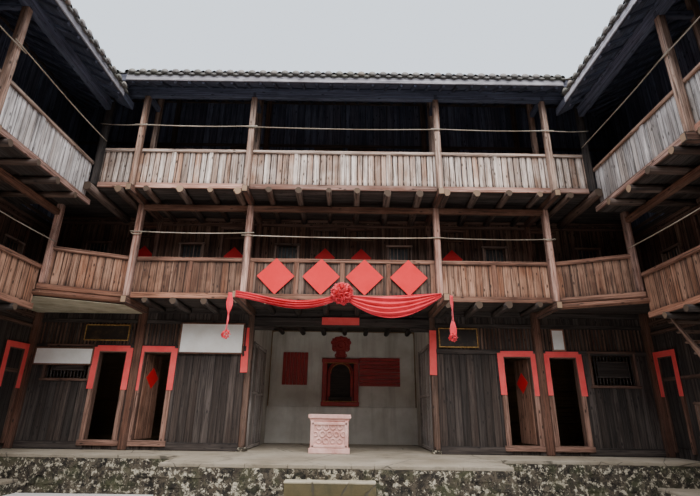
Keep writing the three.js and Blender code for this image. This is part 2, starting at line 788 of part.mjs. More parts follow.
const hallSides = [
  ["left", -1, leftDoor, openDoors.left],
  ["right", 1, rightDoor, openDoors.right],
];
for (const [name, side, door, open] of hallSides) {
  const half = groundDoor.wide / 2;
  const outerJamb = door + side * half;
  const innerJamb = door - side * half;
  const hallJamb = side * (hall.half + post / 2 + fit);
  const span = (a, b) => [Math.min(a, b), Math.max(a, b)];
  const latticeHole = frontHole(
    ...span(side * lattice.from, side * lattice.to),
    plinth.top + lattice.sill,
    plinth.top + lattice.sill + lattice.high,
  );
  const openDoorHole = doorHole(open, plinth.top, groundDoor);
  const outer = cut(groundPanel(...span(outerJamb, side * ends), base, ceiling), [openDoorHole, latticeHole]);
  const inner = groundPanel(...span(hallJamb, innerJamb), base, ceiling);
  const between = span(innerJamb + side * fit, outerJamb - side * fit);
  const head = groundPanel(...between, doorTop, ceiling);
  const sill = groundPanel(...between, base, plinth.top + groundDoor.sill);
  const wallThick = span(side * hall.half, side * (hall.half + hall.wall));
  const wall = block(...wallThick, roomFront.back + hall.postBehind + fit, inside, base, ceiling);
  house.add(
    placed(`hall_wing_${name}_outer_front`, outer, "darkTimber"),
    placed(`hall_wing_${name}_inner_front`, inner, "darkTimber"),
    placed(`hall_wing_${name}_door_head`, head, "darkTimber"),
    placed(`hall_wing_${name}_door_sill`, sill, "darkTimber"),
    placed(`hall_${name}_wall`, wall, "plaster"),
  );
}

function portalPost(side) {
  const middle = side * hall.half;
  const back = roomFront.back + hall.postBehind;
  return block(middle - post / 2, middle + post / 2, roomFront.face, back, base, ceiling);
}
const overLintel = { front: roomFront.face + 40, back: roomFront.back - 40, low: hall.lintelHigh - past };
house.add(
  placed(
    "hall_portal",
    join([
      portalPost(-1),
      portalPost(1),
      block(-hall.half, hall.half, roomFront.face, roomFront.back, hall.lintelLow, hall.lintelHigh),
      block(-hall.half, hall.half, overLintel.front, overLintel.back, overLintel.low, ceiling),
    ]),
    "darkTimber",
  ),
);

// Door leaves turn inwards on pins, and stand nearly fully open.
function leaf(name, side, door) {
  const group = new THREE.Group();
  const jamb = door + side * (groundDoor.wide / 2);
  const low = plinth.top + groundDoor.sill;
  group.position.set(jamb - side * doorPin.fromJamb, roomFront.back - doorPin.fromBack, low);
  group.rotation.z = -side * THREE.MathUtils.degToRad(doorLeaf.open);
  const x0 = side * doorLeaf.edge;
  const x1 = -side * doorLeaf.reach;
  const high = groundDoor.high - doorLeaf.lift;
  const thin = doorLeaf.thick / 2;
  const panel = block(Math.min(x0, x1), Math.max(x0, x1), -thin, thin, doorLeaf.lift, high);
  const pinHigh = groundDoor.high - 2 * fit;
  const pin = new THREE.CylinderGeometry(doorPin.radius, doorPin.radius, pinHigh, doorPin.sides);
  pin.rotateX(Math.PI / 2);
  pin.translate(0, 0, groundDoor.high / 2);
  group.add(placed(name, join([panel, solidOf(pin)]), "greyTimber"));
  house.add(group);
}
leaf("left_door_leaf", -1, leftDoor);
leaf("right_door_leaf", 1, rightDoor);

// Furnishing of the hall
const shrine = { left: -620, right: 500, low: 1760, high: 3160, deep: 120, frame: 130, board: 30 };
house.add(
  placed(
    "shrine",
    cut(block(shrine.left, shrine.right, inside - shrine.deep, inside, shrine.low, shrine.high), [
      block(
        shrine.left + shrine.frame,
        shrine.right - shrine.frame,
        inside - shrine.deep - past,
        inside - shrine.board,
        shrine.low + shrine.frame,
        shrine.high - shrine.frame,
      ),
    ]),
    "redPaper",
  ),
);
const altar = { left: -720, right: 260, front: 7400, back: 7850, top: 1530, slab: 90, foot: 110 };
function altarBlock(sideIn, frontIn, low, high) {
  const { left, right, front, back } = altar;
  return block(left + sideIn, right - sideIn, front + frontIn, back - frontIn, low, high);
}
const slabLow = altar.top - altar.slab;
const altarParts = [
  altarBlock(0, 0, slabLow, altar.top),
  altarBlock(90, 60, base, slabLow + past),
  altarBlock(30, 20, base, base + altar.foot),
];
house.add(placed("stone_altar", join(altarParts), "carvedStone"));

// Festoon of cloth between the two long cantilevers: two lobes, and a tail at each end.
const swag = {
  half: 2400,
  front: 5740,
  back: beamNose - fit,
  top: 4020,
  deep: 170,
  lobe: 330,
  upperLobe: 115,
  fullness: 0.8, // under 1 makes the lobes rounder than a sine
  points: 12,
  tail: 1000,
  tailWide: 110,
};
function swagOutline() {
  const sag = (x) => Math.sin((Math.PI * Math.abs(x)) / swag.half) ** swag.fullness;
  const spacing = (2 * swag.half) / swag.points;
  const xs = Array.from({ length: swag.points + 1 }, (_, i) => -swag.half + spacing * i);
  const upperEdge = xs.map((x) => [x, swag.top - swag.upperLobe * sag(x)]);
  const lowerEdge = xs.map((x) => [x, swag.top - swag.deep - swag.lobe * sag(x)]).slice(1, -1);
  const tailLow = swag.top - swag.tail;
  return [
    [-swag.half, tailLow],
    [-swag.half + swag.tailWide, tailLow],
    ...lowerEdge,
    [swag.half - swag.tailWide, tailLow],
    [swag.half, tailLow],
    ...upperEdge.reverse(),
  ];
}
house.add(placed("cloth_festoon", extrudeAlongY(swagOutline(), swag.front, swag.back), "redCloth"));

export default house;
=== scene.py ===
import math
import random

import bpy
import numpy as np
from mathutils import Matrix, Vector


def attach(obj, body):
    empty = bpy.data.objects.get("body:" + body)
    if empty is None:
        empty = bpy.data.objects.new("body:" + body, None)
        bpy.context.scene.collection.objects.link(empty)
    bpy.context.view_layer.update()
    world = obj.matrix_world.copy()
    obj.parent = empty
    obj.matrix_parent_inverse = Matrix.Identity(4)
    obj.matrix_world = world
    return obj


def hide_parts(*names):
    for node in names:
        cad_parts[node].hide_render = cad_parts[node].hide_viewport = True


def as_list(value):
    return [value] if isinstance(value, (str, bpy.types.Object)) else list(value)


# Looks of a fortified courtyard house: timber galleries, tiled roofs and rammed-earth walls.
# Metres, +Z up, +Y towards the raised hall. Each wing is drawn with x along it and y outwards.

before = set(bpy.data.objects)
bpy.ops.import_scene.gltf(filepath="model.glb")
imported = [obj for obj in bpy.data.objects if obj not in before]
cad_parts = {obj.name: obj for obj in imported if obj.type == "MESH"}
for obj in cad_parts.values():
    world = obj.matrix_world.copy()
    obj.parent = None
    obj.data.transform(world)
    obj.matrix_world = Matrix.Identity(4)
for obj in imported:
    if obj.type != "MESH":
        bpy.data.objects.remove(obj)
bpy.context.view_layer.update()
bpy.ops.object.select_all(action="DESELECT")
print("stage: frame loaded,", len(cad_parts), "nodes")


def moved(x, y, z):
    return Matrix.Translation((x, y, z))


def turned(degrees, axis="Z"):
    return Matrix.Rotation(math.radians(degrees), 4, axis)


def lying(x, y, z, turn=0.0):  # length along x, or turned about the upright
    return moved(x, y, z) @ turned(turn)


def upright(x, y, z, turn=0.0):  # length upwards, thickness along y, width along x
    return moved(x, y, z) @ (turned(turn) @ turned(-90, "Y"))


# Camera and light

viewpoint = {"place": (0.18, -3.9, 1.57), "pitch": 19.6, "roll": 0.8, "lens": 23.81, "sensor": 36, "far": 400}
daylight = {
    "sky": (0.80, 0.885, 1.0), "skyStrength": 1.6, "warm": (1.0, 0.955, 0.91), "overhead": 8200,
    "overheadSize": 18.0, "sun": 3.6, "sunSize": 45, "sunTurn": (44, 7, 0),
}


def makeCamera():
    bpy.ops.object.camera_add()
    camera = bpy.context.object
    camera.name = "courtCamera"
    lean = turned(90 + viewpoint["pitch"], "X") @ turned(viewpoint["roll"])
    camera.matrix_world = moved(*viewpoint["place"]) @ lean
    camera.data.lens, camera.data.sensor_width = viewpoint["lens"], viewpoint["sensor"]
    camera.data.clip_end = viewpoint["far"]
    bpy.context.scene.camera = camera


def addLight(name, kind, place, energy):
    bpy.ops.object.light_add(type=kind, location=place)
    light = bpy.context.object
    light.name, light.data.energy, light.data.color = name, energy, daylight["warm"]
    return light


def makeLight():
    world = bpy.data.worlds.new("overcastSky")
    bpy.context.scene.world = world
    world.use_nodes = True
    sky = world.node_tree.nodes["Background"]
    sky.inputs["Color"].default_value = (*daylight["sky"], 1)
    sky.inputs["Strength"].default_value = daylight["skyStrength"]
    overhead = addLight("overheadLight", "AREA", (0, -1.5, 24), daylight["overhead"])
    overhead.data.size = daylight["overheadSize"]
    sun = addLight("softSun", "SUN", (0, 0, 40), daylight["sun"])
    sun.data.angle = math.radians(daylight["sunSize"])
    sun.rotation_euler = [math.radians(angle) for angle in daylight["sunTurn"]]


makeCamera()
makeLight()

# Shader wiring


class Wire:  # a socket that takes part in sums
    def __init__(self, paint, socket):
        self.paint, self.socket = paint, socket

    def __add__(self, other):
        return self.paint.maths("ADD", self, other)

    def __sub__(self, other):
        return self.paint.maths("SUBTRACT", self, other)

    def __rsub__(self, other):
        return self.paint.maths("SUBTRACT", other, self)

    def __mul__(self, other):
        return self.paint.maths("MULTIPLY", self, other)

    __radd__, __rmul__ = __add__, __mul__


class Paint:  # one material while it is wired
    def __init__(self, name):
        self.material = bpy.data.materials.new(name)
        self.material.use_nodes = True
        self.tree = self.material.node_tree
        self.tree.nodes.clear()
        self.place = self.node("ShaderNodeTexCoord", out=3)
        self.colour = None

    def node(self, kind, settings=None, values=None, out=0):
        made = self.tree.nodes.new(kind)
        for key, value in (settings or {}).items():
            setattr(made, key, value)
        for key, value in (values or {}).items():
            if isinstance(value, Wire):
                self.tree.links.new(value.socket, made.inputs[key])
            else:
                made.inputs[key].default_value = value
        return Wire(self, made.outputs[out]) if made.outputs else None

    def maths(self, operation, first, second=0.5):
        return self.node("ShaderNodeMath", {"operation": operation}, {0: first, 1: second})

    def carried(self, name, out=1):  # an attribute of the mesh: 1 its vector, 2 its number
        return self.node("ShaderNodeAttribute", {"attribute_name": name}, out=out)

    def scaled(self, where, by, turn=(0, 0, 0)):
        return self.node("ShaderNodeMapping", {}, {0: where, 2: turn, 3: by})

    def reach(self, where, scale):  # a scale may differ from axis to axis
        where = where or self.place
        return (self.scaled(where, scale), 1) if hasattr(scale, "__len__") else (where, scale)

    def noise(self, scale, detail=4.0, rough=0.55, twist=0.0, where=None):
        where, scale = self.reach(where, scale)
        values = {"Vector": where, "Scale": scale, "Detail": detail, "Roughness": rough, "Distortion": twist}
        return self.node("ShaderNodeTexNoise", {}, values)

    def cells(self, scale, feature="F1", where=None):
        where, scale = self.reach(where, scale)
        return self.node("ShaderNodeTexVoronoi", {"feature": feature}, {"Vector": where, "Scale": scale})

    def chance(self, number):
        return self.node("ShaderNodeTexWhiteNoise", {"noise_dimensions": "1D"}, {"W": number})

    def axis(self, where, number):
        return self.node("ShaderNodeSeparateXYZ", {}, {0: where}, number)

    def range(self, value, low, high, to0=0.0, to1=1.0):
        return self.node("ShaderNodeMapRange", {"clamp": True}, {0: value, 1: low, 2: high, 3: to0, 4: to1})

    def mix(self, factor, first, second, way="MIX"):
        colours = {6: first, 7: second}
        colours = {k: v if isinstance(v, Wire) else (*v, 1) for k, v in colours.items()}
        settings = {"data_type": "RGBA", "blend_type": way, "clamp_factor": True}
        return self.node("ShaderNodeMix", settings, {0: factor, **colours}, 2)

    def start(self, source, low, high, first, second):
        self.colour = self.mix(self.range(source, low, high), first, second)

    def lay(self, mask, tint):
        self.colour = self.mix(mask, self.colour, tint)

    def coat(self, source, low, high, tint, share=1):  # another colour where the source is high
        mask = self.range(source, low, high)
        self.lay(mask if share == 1 else mask * share, tint)

    def finish(self, rough, height=None, deep=0.004, strength=1.0, **fixed):
        values = {"Base Color": self.colour, "Roughness": rough, **fixed}
        if height is not None:
            bump = {"Height": height, "Distance": deep, "Strength": strength}
            values["Normal"] = self.node("ShaderNodeBump", {}, bump)
        shader = self.node("ShaderNodeBsdfPrincipled", {}, values)
        self.node("ShaderNodeOutputMaterial", {}, {0: shader})
        return self.material


# Timber: the grain follows each board, and each board has a tone of its own; on gallery boards the tone also carries
# painted light and shade.
# A row gives the deep, base, pale and warm colour, then how much warmth, dirt and painted shade at the board edges, and
# bleach it has.

timbers = {
    "silvered": ((0.038, 0.021, 0.014), (0.435, 0.318, 0.258), (0.86, 0.75, 0.68), (0.42, 0.19, 0.09), 0.5, 0.8, 0.35),
    "bleached": ((0.06, 0.05, 0.046), (0.44, 0.4, 0.39), (0.8, 0.76, 0.76), (0.4, 0.29, 0.21), 0.35, 0.6, 0.3),
    "handrail": ((0.055, 0.033, 0.024), (0.45, 0.33, 0.27), (0.84, 0.73, 0.66), (0.44, 0.23, 0.13), 0.35, 0.15, 0.35),
    "warm": ((0.02, 0.008, 0.005), (0.175, 0.078, 0.045), (0.455, 0.26, 0.175), (0.27, 0.092, 0.036), 0.45, 0.75, 0.45),
    "shaded": (
        (0.012, 0.006, 0.004), (0.085, 0.048, 0.033), (0.235, 0.15, 0.112), (0.14, 0.055, 0.028), 0.45, 0.8, 0.15),
    "umber": ((0.018, 0.007, 0.005), (0.4, 0.195, 0.14), (0.78, 0.49, 0.4), (0.29, 0.105, 0.052), 0.45, 0.5, 0.25),
    "smoked": ((0.008, 0.004, 0.003), (0.085, 0.04, 0.026), (0.235, 0.14, 0.098), (0.125, 0.045, 0.02), 0.45, 0.8, 0.2),
    "dark": ((0.007, 0.005, 0.005), (0.038, 0.027, 0.023), (0.098, 0.078, 0.07), (0.05, 0.027, 0.017), 0.35, 0.6, 0),
    # blue-grey timber: a blue cast of painted shade, for roof boards, rafters, third-floor plates and room fronts
    "shadowBlue": ((0.017, 0.021, 0.036), (0.098, 0.113, 0.18), (0.19, 0.218, 0.325), (0.102, 0.088, 0.102), 0.35, 0.6, 0),
    "joist": ((0.012, 0.007, 0.006), (0.076, 0.046, 0.036), (0.185, 0.128, 0.104), (0.1, 0.046, 0.026), 0.45, 0, 0.2),
    "post": ((0.022, 0.011, 0.007), (0.25, 0.148, 0.105), (0.54, 0.385, 0.31), (0.27, 0.12, 0.062), 0.4, 0.3, 0.2),
    "jamb": ((0.018, 0.009, 0.006), (0.155, 0.075, 0.052), (0.33, 0.19, 0.145), (0.19, 0.068, 0.035), 0.45, 0.5, 0.2),
    "rail": ((0.022, 0.009, 0.005), (0.205, 0.088, 0.053), (0.42, 0.22, 0.15), (0.27, 0.088, 0.038), 0.4, 0.3, 0.3),
    # fascia: weathered grey boards with a blue cast of painted shade
    "fascia": ((0.105, 0.099, 0.116), (0.5, 0.485, 0.545), (0.78, 0.77, 0.85), (0.42, 0.37, 0.38), 0.3, 0.25, 0.3),
    "bamboo": ((0.14, 0.1, 0.07), (0.42, 0.36, 0.28), (0.62, 0.56, 0.47), (0.42, 0.31, 0.2), 0.3, 0, 0),
}


def timber(name, tones, boards=None):
    deep, base, pale, warm, warmth, edgeShadeAndDirtShare, bleach = tones
    paint = Paint(name)
    if boards:  # a node of the frame: boards drawn by the material, across and along an axis
        across, along, wide = boards
        steps = paint.axis(paint.place, "XYZ".index(across)) * (1 / wide)
        tone = paint.chance(paint.maths("FLOOR", steps))
        seam = paint.range(paint.maths("PINGPONG", steps), 0.0, 0.035)
        turn = {"X": (0, 0, 0), "Y": (0, 0, math.pi / 2), "Z": (0, math.pi / 2, 0)}[along]
        grain = paint.scaled(paint.place, (1, 1, 1), turn)
    else:
        grain, tone, share = paint.carried("grain"), paint.carried("tone", 2), paint.carried("share")
        side, end = (paint.maths("ABSOLUTE", paint.axis(share, number)) for number in (2, 0))
        rag = paint.noise((9, 60, 60), 3, 0.6, where=grain) * 0.12
        # dirt and painted shade along each board's sides and ends, so the gaps between boards read dark
        edgeShadeAndDirt = paint.range(side + rag, 0.44, 0.55) * 0.8 + paint.range(end + rag, 0.43, 0.56) * 0.55
    fibre = paint.noise((2.2, 70, 70), 5, 0.62, where=grain)
    figure = paint.noise((0.8, 13, 13), 3, 0.5, 0.6, grain)
    streak = paint.noise((0.9, 30, 30), 4, 0.7, 0.4, grain)
    ripple = paint.noise((0.5, 34, 34), 2, 0.5, 0.3, grain)
    knot = paint.range(paint.cells((3.4, 9, 9), where=grain), 0.09, 0.19, 1.0, 0.0) * 0.9
    hue = paint.chance(tone * 91.7)
    shade = paint.range(tone, 0.0, 1.0, 0.50, 1.22)
    paint.start(figure * 0.6 + ripple * 0.4, 0.42, 0.57, base, pale)
    paint.lay(paint.range(hue, 0.35, 1.0) * warmth * 1.5, warm)
    grey = paint.node("ShaderNodeCombineColor", {}, {0: shade, 1: shade, 2: shade})
    paint.colour = paint.mix(1.0, paint.colour, grey, "MULTIPLY")
    if bleach:  # patches that sun and hands have rubbed pale
        paint.coat(paint.noise(1.5, 3, 0.55), 0.50, 0.66, pale, bleach)
    paint.coat(fibre, 0.5, 0.3, deep, 0.8)
    paint.coat(streak, 0.53, 0.64, deep, 0.8)
    paint.lay(knot, deep)
    paint.coat(paint.noise(0.9, 3, 0.6), 0.50, 0.75, deep, 0.45)
    height = fibre * 0.7 + figure * 0.3 - knot * 0.3 - paint.range(streak, 0.54, 0.68) * 0.5
    if boards:
        paint.lay(1 - seam, tuple(c * 0.25 for c in deep))
        height = height + seam * 2.0
    elif edgeShadeAndDirtShare:
        paint.lay(edgeShadeAndDirt * edgeShadeAndDirtShare, deep)
    return paint.finish(paint.range(fibre, 0.3, 0.7, 0.90, 0.72), height, 0.004, 0.6)


def endGrain():
    paint = Paint("sawnLogEnd")
    grain = paint.carried("grain")
    away = paint.node("ShaderNodeVectorMath", {"operation": "LENGTH"}, {0: paint.scaled(grain, (0.02, 1, 1))}, 1)
    ring = paint.maths("SINE", (paint.noise((0, 6, 6), 2, where=grain) * 0.012 + away) * 900)
    crack = paint.range(paint.noise((0, 30, 30), 4, 0.7, where=grain), 0.60, 0.68)
    paint.colour = paint.mix(paint.range(ring, -1, 1) * 0.45, (0.38, 0.255, 0.165), (0.22, 0.135, 0.08))
    paint.coat(paint.carried("tone", 2), 0.1, 0.8, (0.052, 0.034, 0.024), 0.92)
    paint.lay(crack * 0.7, (0.05, 0.035, 0.025))
    return paint.finish(0.9, ring * 0.2 - crack, 0.003, 0.6)


def rammedEarth():
    paint = Paint("rammedEarth")
    high = paint.axis(paint.place, 2)
    wander = paint.noise(0.7, 3) * 0.10
    layers = (high + wander) * (1 / 0.115)
    tone = paint.chance(paint.maths("FLOOR", layers))
    seam = paint.range(paint.maths("PINGPONG", layers), 0.0, 0.09)
    lift = paint.range(paint.maths("PINGPONG", (high + wander * 0.3) * (1 / 0.46)), 0.0, 0.03)
    coarse, grit = paint.noise(2.2, 6, 0.65), paint.noise(38, 4, 0.7)
    stain = paint.noise((1.1, 1.1, 0.12), 4, 0.6)
    pebbles = paint.range(paint.cells(17), 0.10, 0.24, 1.0, 0.0)
    paint.start(coarse, 0.3, 0.7, (0.27, 0.165, 0.085), (0.42, 0.285, 0.165))
    paint.lay(tone * 0.5, (0.34, 0.195, 0.095))
    paint.coat(grit, 0.55, 0.75, (0.50, 0.385, 0.255), 0.4)
    paint.coat(stain, 0.48, 0.70, (0.15, 0.095, 0.055), 0.65)
    paint.coat(high, 1.6, 0.9, (0.13, 0.10, 0.068), 0.35)
    paint.lay(pebbles * 0.5, (0.36, 0.31, 0.25))
    paint.lay((1 - seam) * 0.28 + (1 - lift) * 0.45, (0.105, 0.062, 0.034))
    edges = paint.cells((0.55, 0.55, 0.28), "DISTANCE_TO_EDGE") + paint.noise(6, 3) * 0.02
    crack = paint.range(edges, 0.0105, 0.0165, 1.0, 0.0) * paint.range(stain, 0.44, 0.56)
    paint.lay(crack * 0.7, (0.10, 0.07, 0.05))
    height = coarse * 1.2 + grit * 0.4 + seam * 0.8 + lift * 1.1 + pebbles * 0.4 - crack * 1.5
    return paint.finish(0.95, height, 0.03, 0.95)


def fieldStone():  # dark rubble with lichen, soot and moss
    paint = Paint("mossyFieldStone")
    coarse, grit = paint.noise(5.0, 6, 0.68), paint.noise(34, 5, 0.72)
    pits = paint.range(paint.cells(21), 0.08, 0.26)
    paint.start(coarse, 0.42, 0.60, (0.006, 0.005, 0.004), (0.110, 0.092, 0.066))
    paint.lay(paint.carried("tone", 2) * 0.5, (0.050, 0.036, 0.024))
    paint.coat(paint.noise(8.5, 6, 0.76), 0.525, 0.575, (0.56, 0.51, 0.40), 0.9)
    paint.coat(paint.noise(13, 5, 0.74), 0.53, 0.58, (0.008, 0.007, 0.006), 0.85)
    paint.coat(paint.noise(2.2, 4, 0.6), 0.50, 0.66, (0.062, 0.070, 0.030), 0.6)
    paint.lay(1 - pits, (0.018, 0.015, 0.012))
    return paint.finish(0.94, coarse + grit * 0.5 + pits * 0.7, 0.02, 0.9)


def cement(name, low, high, damp):  # smooth worn screed with stains, cracks and bare patches
    paint = Paint(name)
    coarse, grit, stain = paint.noise(0.9, 5, 0.62), paint.noise(30, 4, 0.7), paint.noise(2.6, 5, 0.66, 0.5)
    paint.start(coarse, 0.34, 0.66, low, high)
    paint.coat(stain, 0.52, 0.70, damp, 0.6)
    paint.coat(grit, 0.56, 0.72, tuple(min(1.0, c * 1.5) for c in high), 0.3)
    edges = paint.cells(0.62, "DISTANCE_TO_EDGE") + paint.noise(7, 4) * 0.03
    crack = paint.range(edges, 0.017, 0.024, 1.0, 0.0)
    paint.lay(crack * 0.8, (0.06, 0.052, 0.04))
    return paint.finish(paint.range(stain, 0.4, 0.7, 0.9, 0.72), coarse * 0.5 + grit * 0.4 - crack, 0.008, 0.6)


def limeWash():
    paint = Paint("limeWash")
    coarse, grit = paint.noise(1.3, 5, 0.6), paint.noise(26, 5, 0.65)
    paint.start(coarse, 0.3, 0.7, (0.56, 0.52, 0.465), (0.80, 0.785, 0.74))
    paint.coat(paint.noise((3.0, 3.0, 0.35), 5, 0.6), 0.50, 0.70, (0.30, 0.265, 0.22), 0.5)
    paint.coat(paint.axis(paint.place, 2) + coarse * 0.8, 2.3, 1.2, (0.30, 0.275, 0.235), 0.45)
    return paint.finish(0.93, grit * 0.5 + coarse * 0.5, 0.008, 0.5)


def redCloth():
    paint = Paint("redCottonCloth")
    warp, weft = (paint.maths("SINE", paint.axis(paint.place, number) * 1900) for number in (0, 2))
    lint = paint.noise(120, 3, 0.6)
    paint.start(paint.noise(3.5, 4, 0.6), 0.3, 0.72, (0.64, 0.010, 0.026), (0.87, 0.040, 0.072))
    paint.coat(lint, 0.6, 0.8, (0.86, 0.20, 0.16), 0.25)
    values = {"Sheen Weight": 0.35, "Sheen Roughness": 0.5}
    return paint.finish(0.82, warp * weft * 0.3 + lint * 0.7, 0.002, 0.35, **values)


# Finishes of a few noises: each may be the ground of the base colour, of a coat (low, high, colour,
# share), of the roughness and of the relief. The first number of a row says which noise is meant.


def layered(name, noises, base, coats, rough, relief=(), deep=0.004, strength=1.0, **fixed):
    paint = Paint(name)
    sources = [paint.carried("tone", 2) if facts == "tone" else paint.noise(*facts) for facts in noises]
    which, *facts = base
    if len(facts) == 2:
        paint.colour = paint.mix(sources[which], *facts)
    else:
        paint.start(sources[which], *facts)
    for which, *facts in coats:
        paint.coat(sources[which], *facts)
    if not isinstance(rough, float):
        rough = paint.range(sources[rough[0]], *rough[1:])
    height = None
    for source, weight in zip(sources, relief):
        if weight:
            part = source if weight == 1 else source * weight
            height = part if height is None else height + part
    return paint.finish(rough, height, deep, strength, **fixed)


def roofTile(name, moss, dark, light):
    coats = (
        (0, 0.86, 1.0, (0.20, 0.135, 0.10), 0.6), (1, 0.45, 0.68, (0.075, 0.078, 0.042), moss),
        (2, 0.58, 0.76, (0.21, 0.20, 0.185), 0.4), (1, 0.42, 0.30, (0.03, 0.03, 0.03), 0.6),
    )
    noises = ("tone", (1.1, 5, 0.6), (30, 4, 0.7))
    return layered(name, noises, (0, dark, light), coats, (2, 0.3, 0.7, 0.92, 0.72), (0, 0.4, 0.6), 0.006, 0.7)


def redPaper(name, deep, bright):
    coats = ((1, 0.6, 0.8, (0.88, 0.20, 0.16), 0.12),)
    return layered(name, ((2.6, 4, 0.6), (90, 3, 0.6)), (0, 0.32, 0.7, deep, bright), coats, 0.72, (1, 0.3), 0.003, 0.5)


finishes = {name: timber(name + "Timber", tones) for name, tones in timbers.items()}
finishes |= {
    "logEnd": endGrain(), "earth": rammedEarth(), "stone": fieldStone(), "plaster": limeWash(), "cloth": redCloth(),
    "cement": cement("wornCement", (0.215, 0.18, 0.13), (0.335, 0.295, 0.235), (0.095, 0.08, 0.055)),
    "tread": cement("paleTread", (0.36, 0.32, 0.23), (0.50, 0.455, 0.35), (0.20, 0.17, 0.11)),
    "riser": cement("mossyRiser", (0.080, 0.066, 0.030), (0.150, 0.122, 0.064), (0.034, 0.034, 0.016)),
    "tile": roofTile("greyRoofTile", 0.55, (0.050, 0.049, 0.050), (0.108, 0.103, 0.098)),
    "eaveTile": roofTile("mossyEaveTile", 0.45, (0.095, 0.09, 0.09), (0.185, 0.172, 0.168)),
    "paper": redPaper("redPaper", (0.76, 0.008, 0.014), (0.84, 0.016, 0.024)),
    # a paler, brighter copy of the red paper: painted light for the couplets in shade under the galleries
    "litPaper": redPaper("redPaperPaintedLight", (0.84, 0.070, 0.075), (0.94, 0.13, 0.125)),
    "white": layered(
        "whitePaintedBoard", ((3, 4, 0.6), (40, 3)), (0, 0.35, 0.7, (0.93, 0.925, 0.91), (0.82, 0.80, 0.765)), (),
        0.7, (1, 0.4), 0.003, 0.4),
    "lacquer": layered(
        "redLacquer", ((5, 5, 0.6), (60, 3)), (0, 0.35, 0.7, (0.27, 0.016, 0.017), (0.43, 0.034, 0.030)),
        ((0, 0.68, 0.75, (0.12, 0.05, 0.03)),), (0, 0.3, 0.7, 0.42, 0.62), (1, 0.3), 0.002, 0.4),
    "gilt": layered(
        "gildedWood", ((24, 4, 0.6),), (0, 0.4, 0.65, (0.62, 0.40, 0.13), (0.33, 0.17, 0.05)), (),
        (0, 0.3, 0.7, 0.38, 0.6), (1,), 0.003, 0.5, Metallic=0.6),
    "carved": layered(
        "carvedPinkStone", ((4, 5, 0.6), (55, 4, 0.7)), (0, 0.3, 0.7, (0.62, 0.30, 0.26), (0.90, 0.60, 0.55)),
        ((1, 0.55, 0.75, (0.86, 0.74, 0.70), 0.4),), 0.85, (0.5, 0.5), 0.005, 0.6),
    "olive": layered(  # old limewash gone green, under the left canted bay
        "oliveWash", ((2.2, 5, 0.62), (30, 4)), (0, 0.36, 0.66, (0.56, 0.52, 0.39), (0.34, 0.30, 0.205)), (),
        0.93, (1, 0.4), 0.004, 0.5),
    "pane": layered(  # behind the window bars: dusty, and dark with painted shade of the room behind
        "dustyPaneWithPaintedShade", ((5, 5, 0.65),), (0, 0.4, 0.68, (0.030, 0.036, 0.038), (0.105, 0.108, 0.10)), (),
        (0, 0.4, 0.7, 0.28, 0.75), (1,), 0.002, 0.4),
    "ink": layered(
        "blackLacquer", ((7, 5, 0.62),), (0, 0.5, 0.72, (0.016, 0.012, 0.010), (0.075, 0.045, 0.026)), (),
        (0, 0.4, 0.7, 0.35, 0.7), (1,), 0.002, 0.4),
}
boardFinishes = {
    part + along: timber(f"{part}Boards{along}", timbers[tones], boards)
    for part, tones, boardsOf in (
        ("soffit", "dark", {"X": ("Y", "X", 0.24), "Y": ("X", "Y", 0.24)}),
        ("roof", "shadowBlue", {"X": ("Y", "X", 0.24), "Y": ("X", "Y", 0.24)}),
        ("front", "smoked", {"X": ("X", "Z", 0.20), "Y": ("Y", "Z", 0.20)}))
    for along, boards in boardsOf.items()
}
print("stage: finishes ready,", len(finishes) + len(boardFinishes))

# Patterns: each repeated shape is modelled once, then laid in place with a mesh of its own.

meshOps = bpy.ops.mesh


class Pattern:
    def __init__(self, maker, keep=True, smooth=False):
        bpy.ops.object.select_all(action="DESELECT")
        maker()
        thing = bpy.context.object
        mesh = thing.data
        self.points = np.zeros(len(mesh.vertices) * 3)
        mesh.vertices.foreach_get("co", self.points)
        self.points = self.points.reshape(-1, 3)
        self.faces = [tuple(p.vertices) for p in mesh.polygons]
        self.keep, self.smooth = np.array(keep), smooth
        bpy.data.objects.remove(thing)
        bpy.data.meshes.remove(mesh)

    def fitted(self, size):  # bevels keep their width, whatever the size
        size, away = np.array(size), np.abs(self.points)
        kept = np.sign(self.points) * (size / 2 - (0.5 - away))
        return np.where(self.keep & (away > 0.25), kept, self.points * size)


def edit(*steps):  # operators in edit mode, each on all of the mesh
    bpy.ops.object.mode_set(mode="EDIT")
    for operator, settings in steps:
        meshOps.select_all(action="SELECT")
        operator(**settings)
    bpy.ops.object.mode_set(mode="OBJECT")


def cutBy(planes):  # leaves what lies behind each plane
    cut = {"clear_outer": True, "use_fill": True}
    cuts = [(meshOps.bisect, {"plane_co": point, "plane_no": normal, **cut}) for point, normal in planes]
    edit(*cuts, (meshOps.normals_make_consistent, {"inside": False}))


def bevelled(offset, segments):
    def maker():
        meshOps.primitive_cube_add(size=1)
        edit((meshOps.bevel, {"offset": offset, "segments": segments}))
    return maker


def rod(vertices, rotation=(0, math.pi / 2, 0), ends="NGON"):  # the start of a log, pole or tile, along x
    meshOps.primitive_cylinder_add(vertices=vertices, radius=0.5, depth=1, end_fill_type=ends, rotation=rotation)
    bpy.ops.object.transform_apply(rotation=True)


def pastedSheet():  # paper, a little cockled, its thickness along y
    meshOps.primitive_cube_add(size=1)
    edit((meshOps.subdivide, {"number_cuts": 4}))
    rand = random.Random(12)
    lean = [rand.uniform(-1, 1) for _ in range(4)]
    for vertex in bpy.context.object.data.vertices:
        x, y, z = vertex.co
        wave = 0.5 * math.sin(7 * x + lean[0]) * math.cos(6 * z + lean[1]) + 0.3 * math.sin(13 * z + 5 * x + lean[2])
        lifted = 2.0 * max(0.0, abs(x) + abs(z) - 0.8)
        vertex.co.y = y - 0.8 - wave - lifted


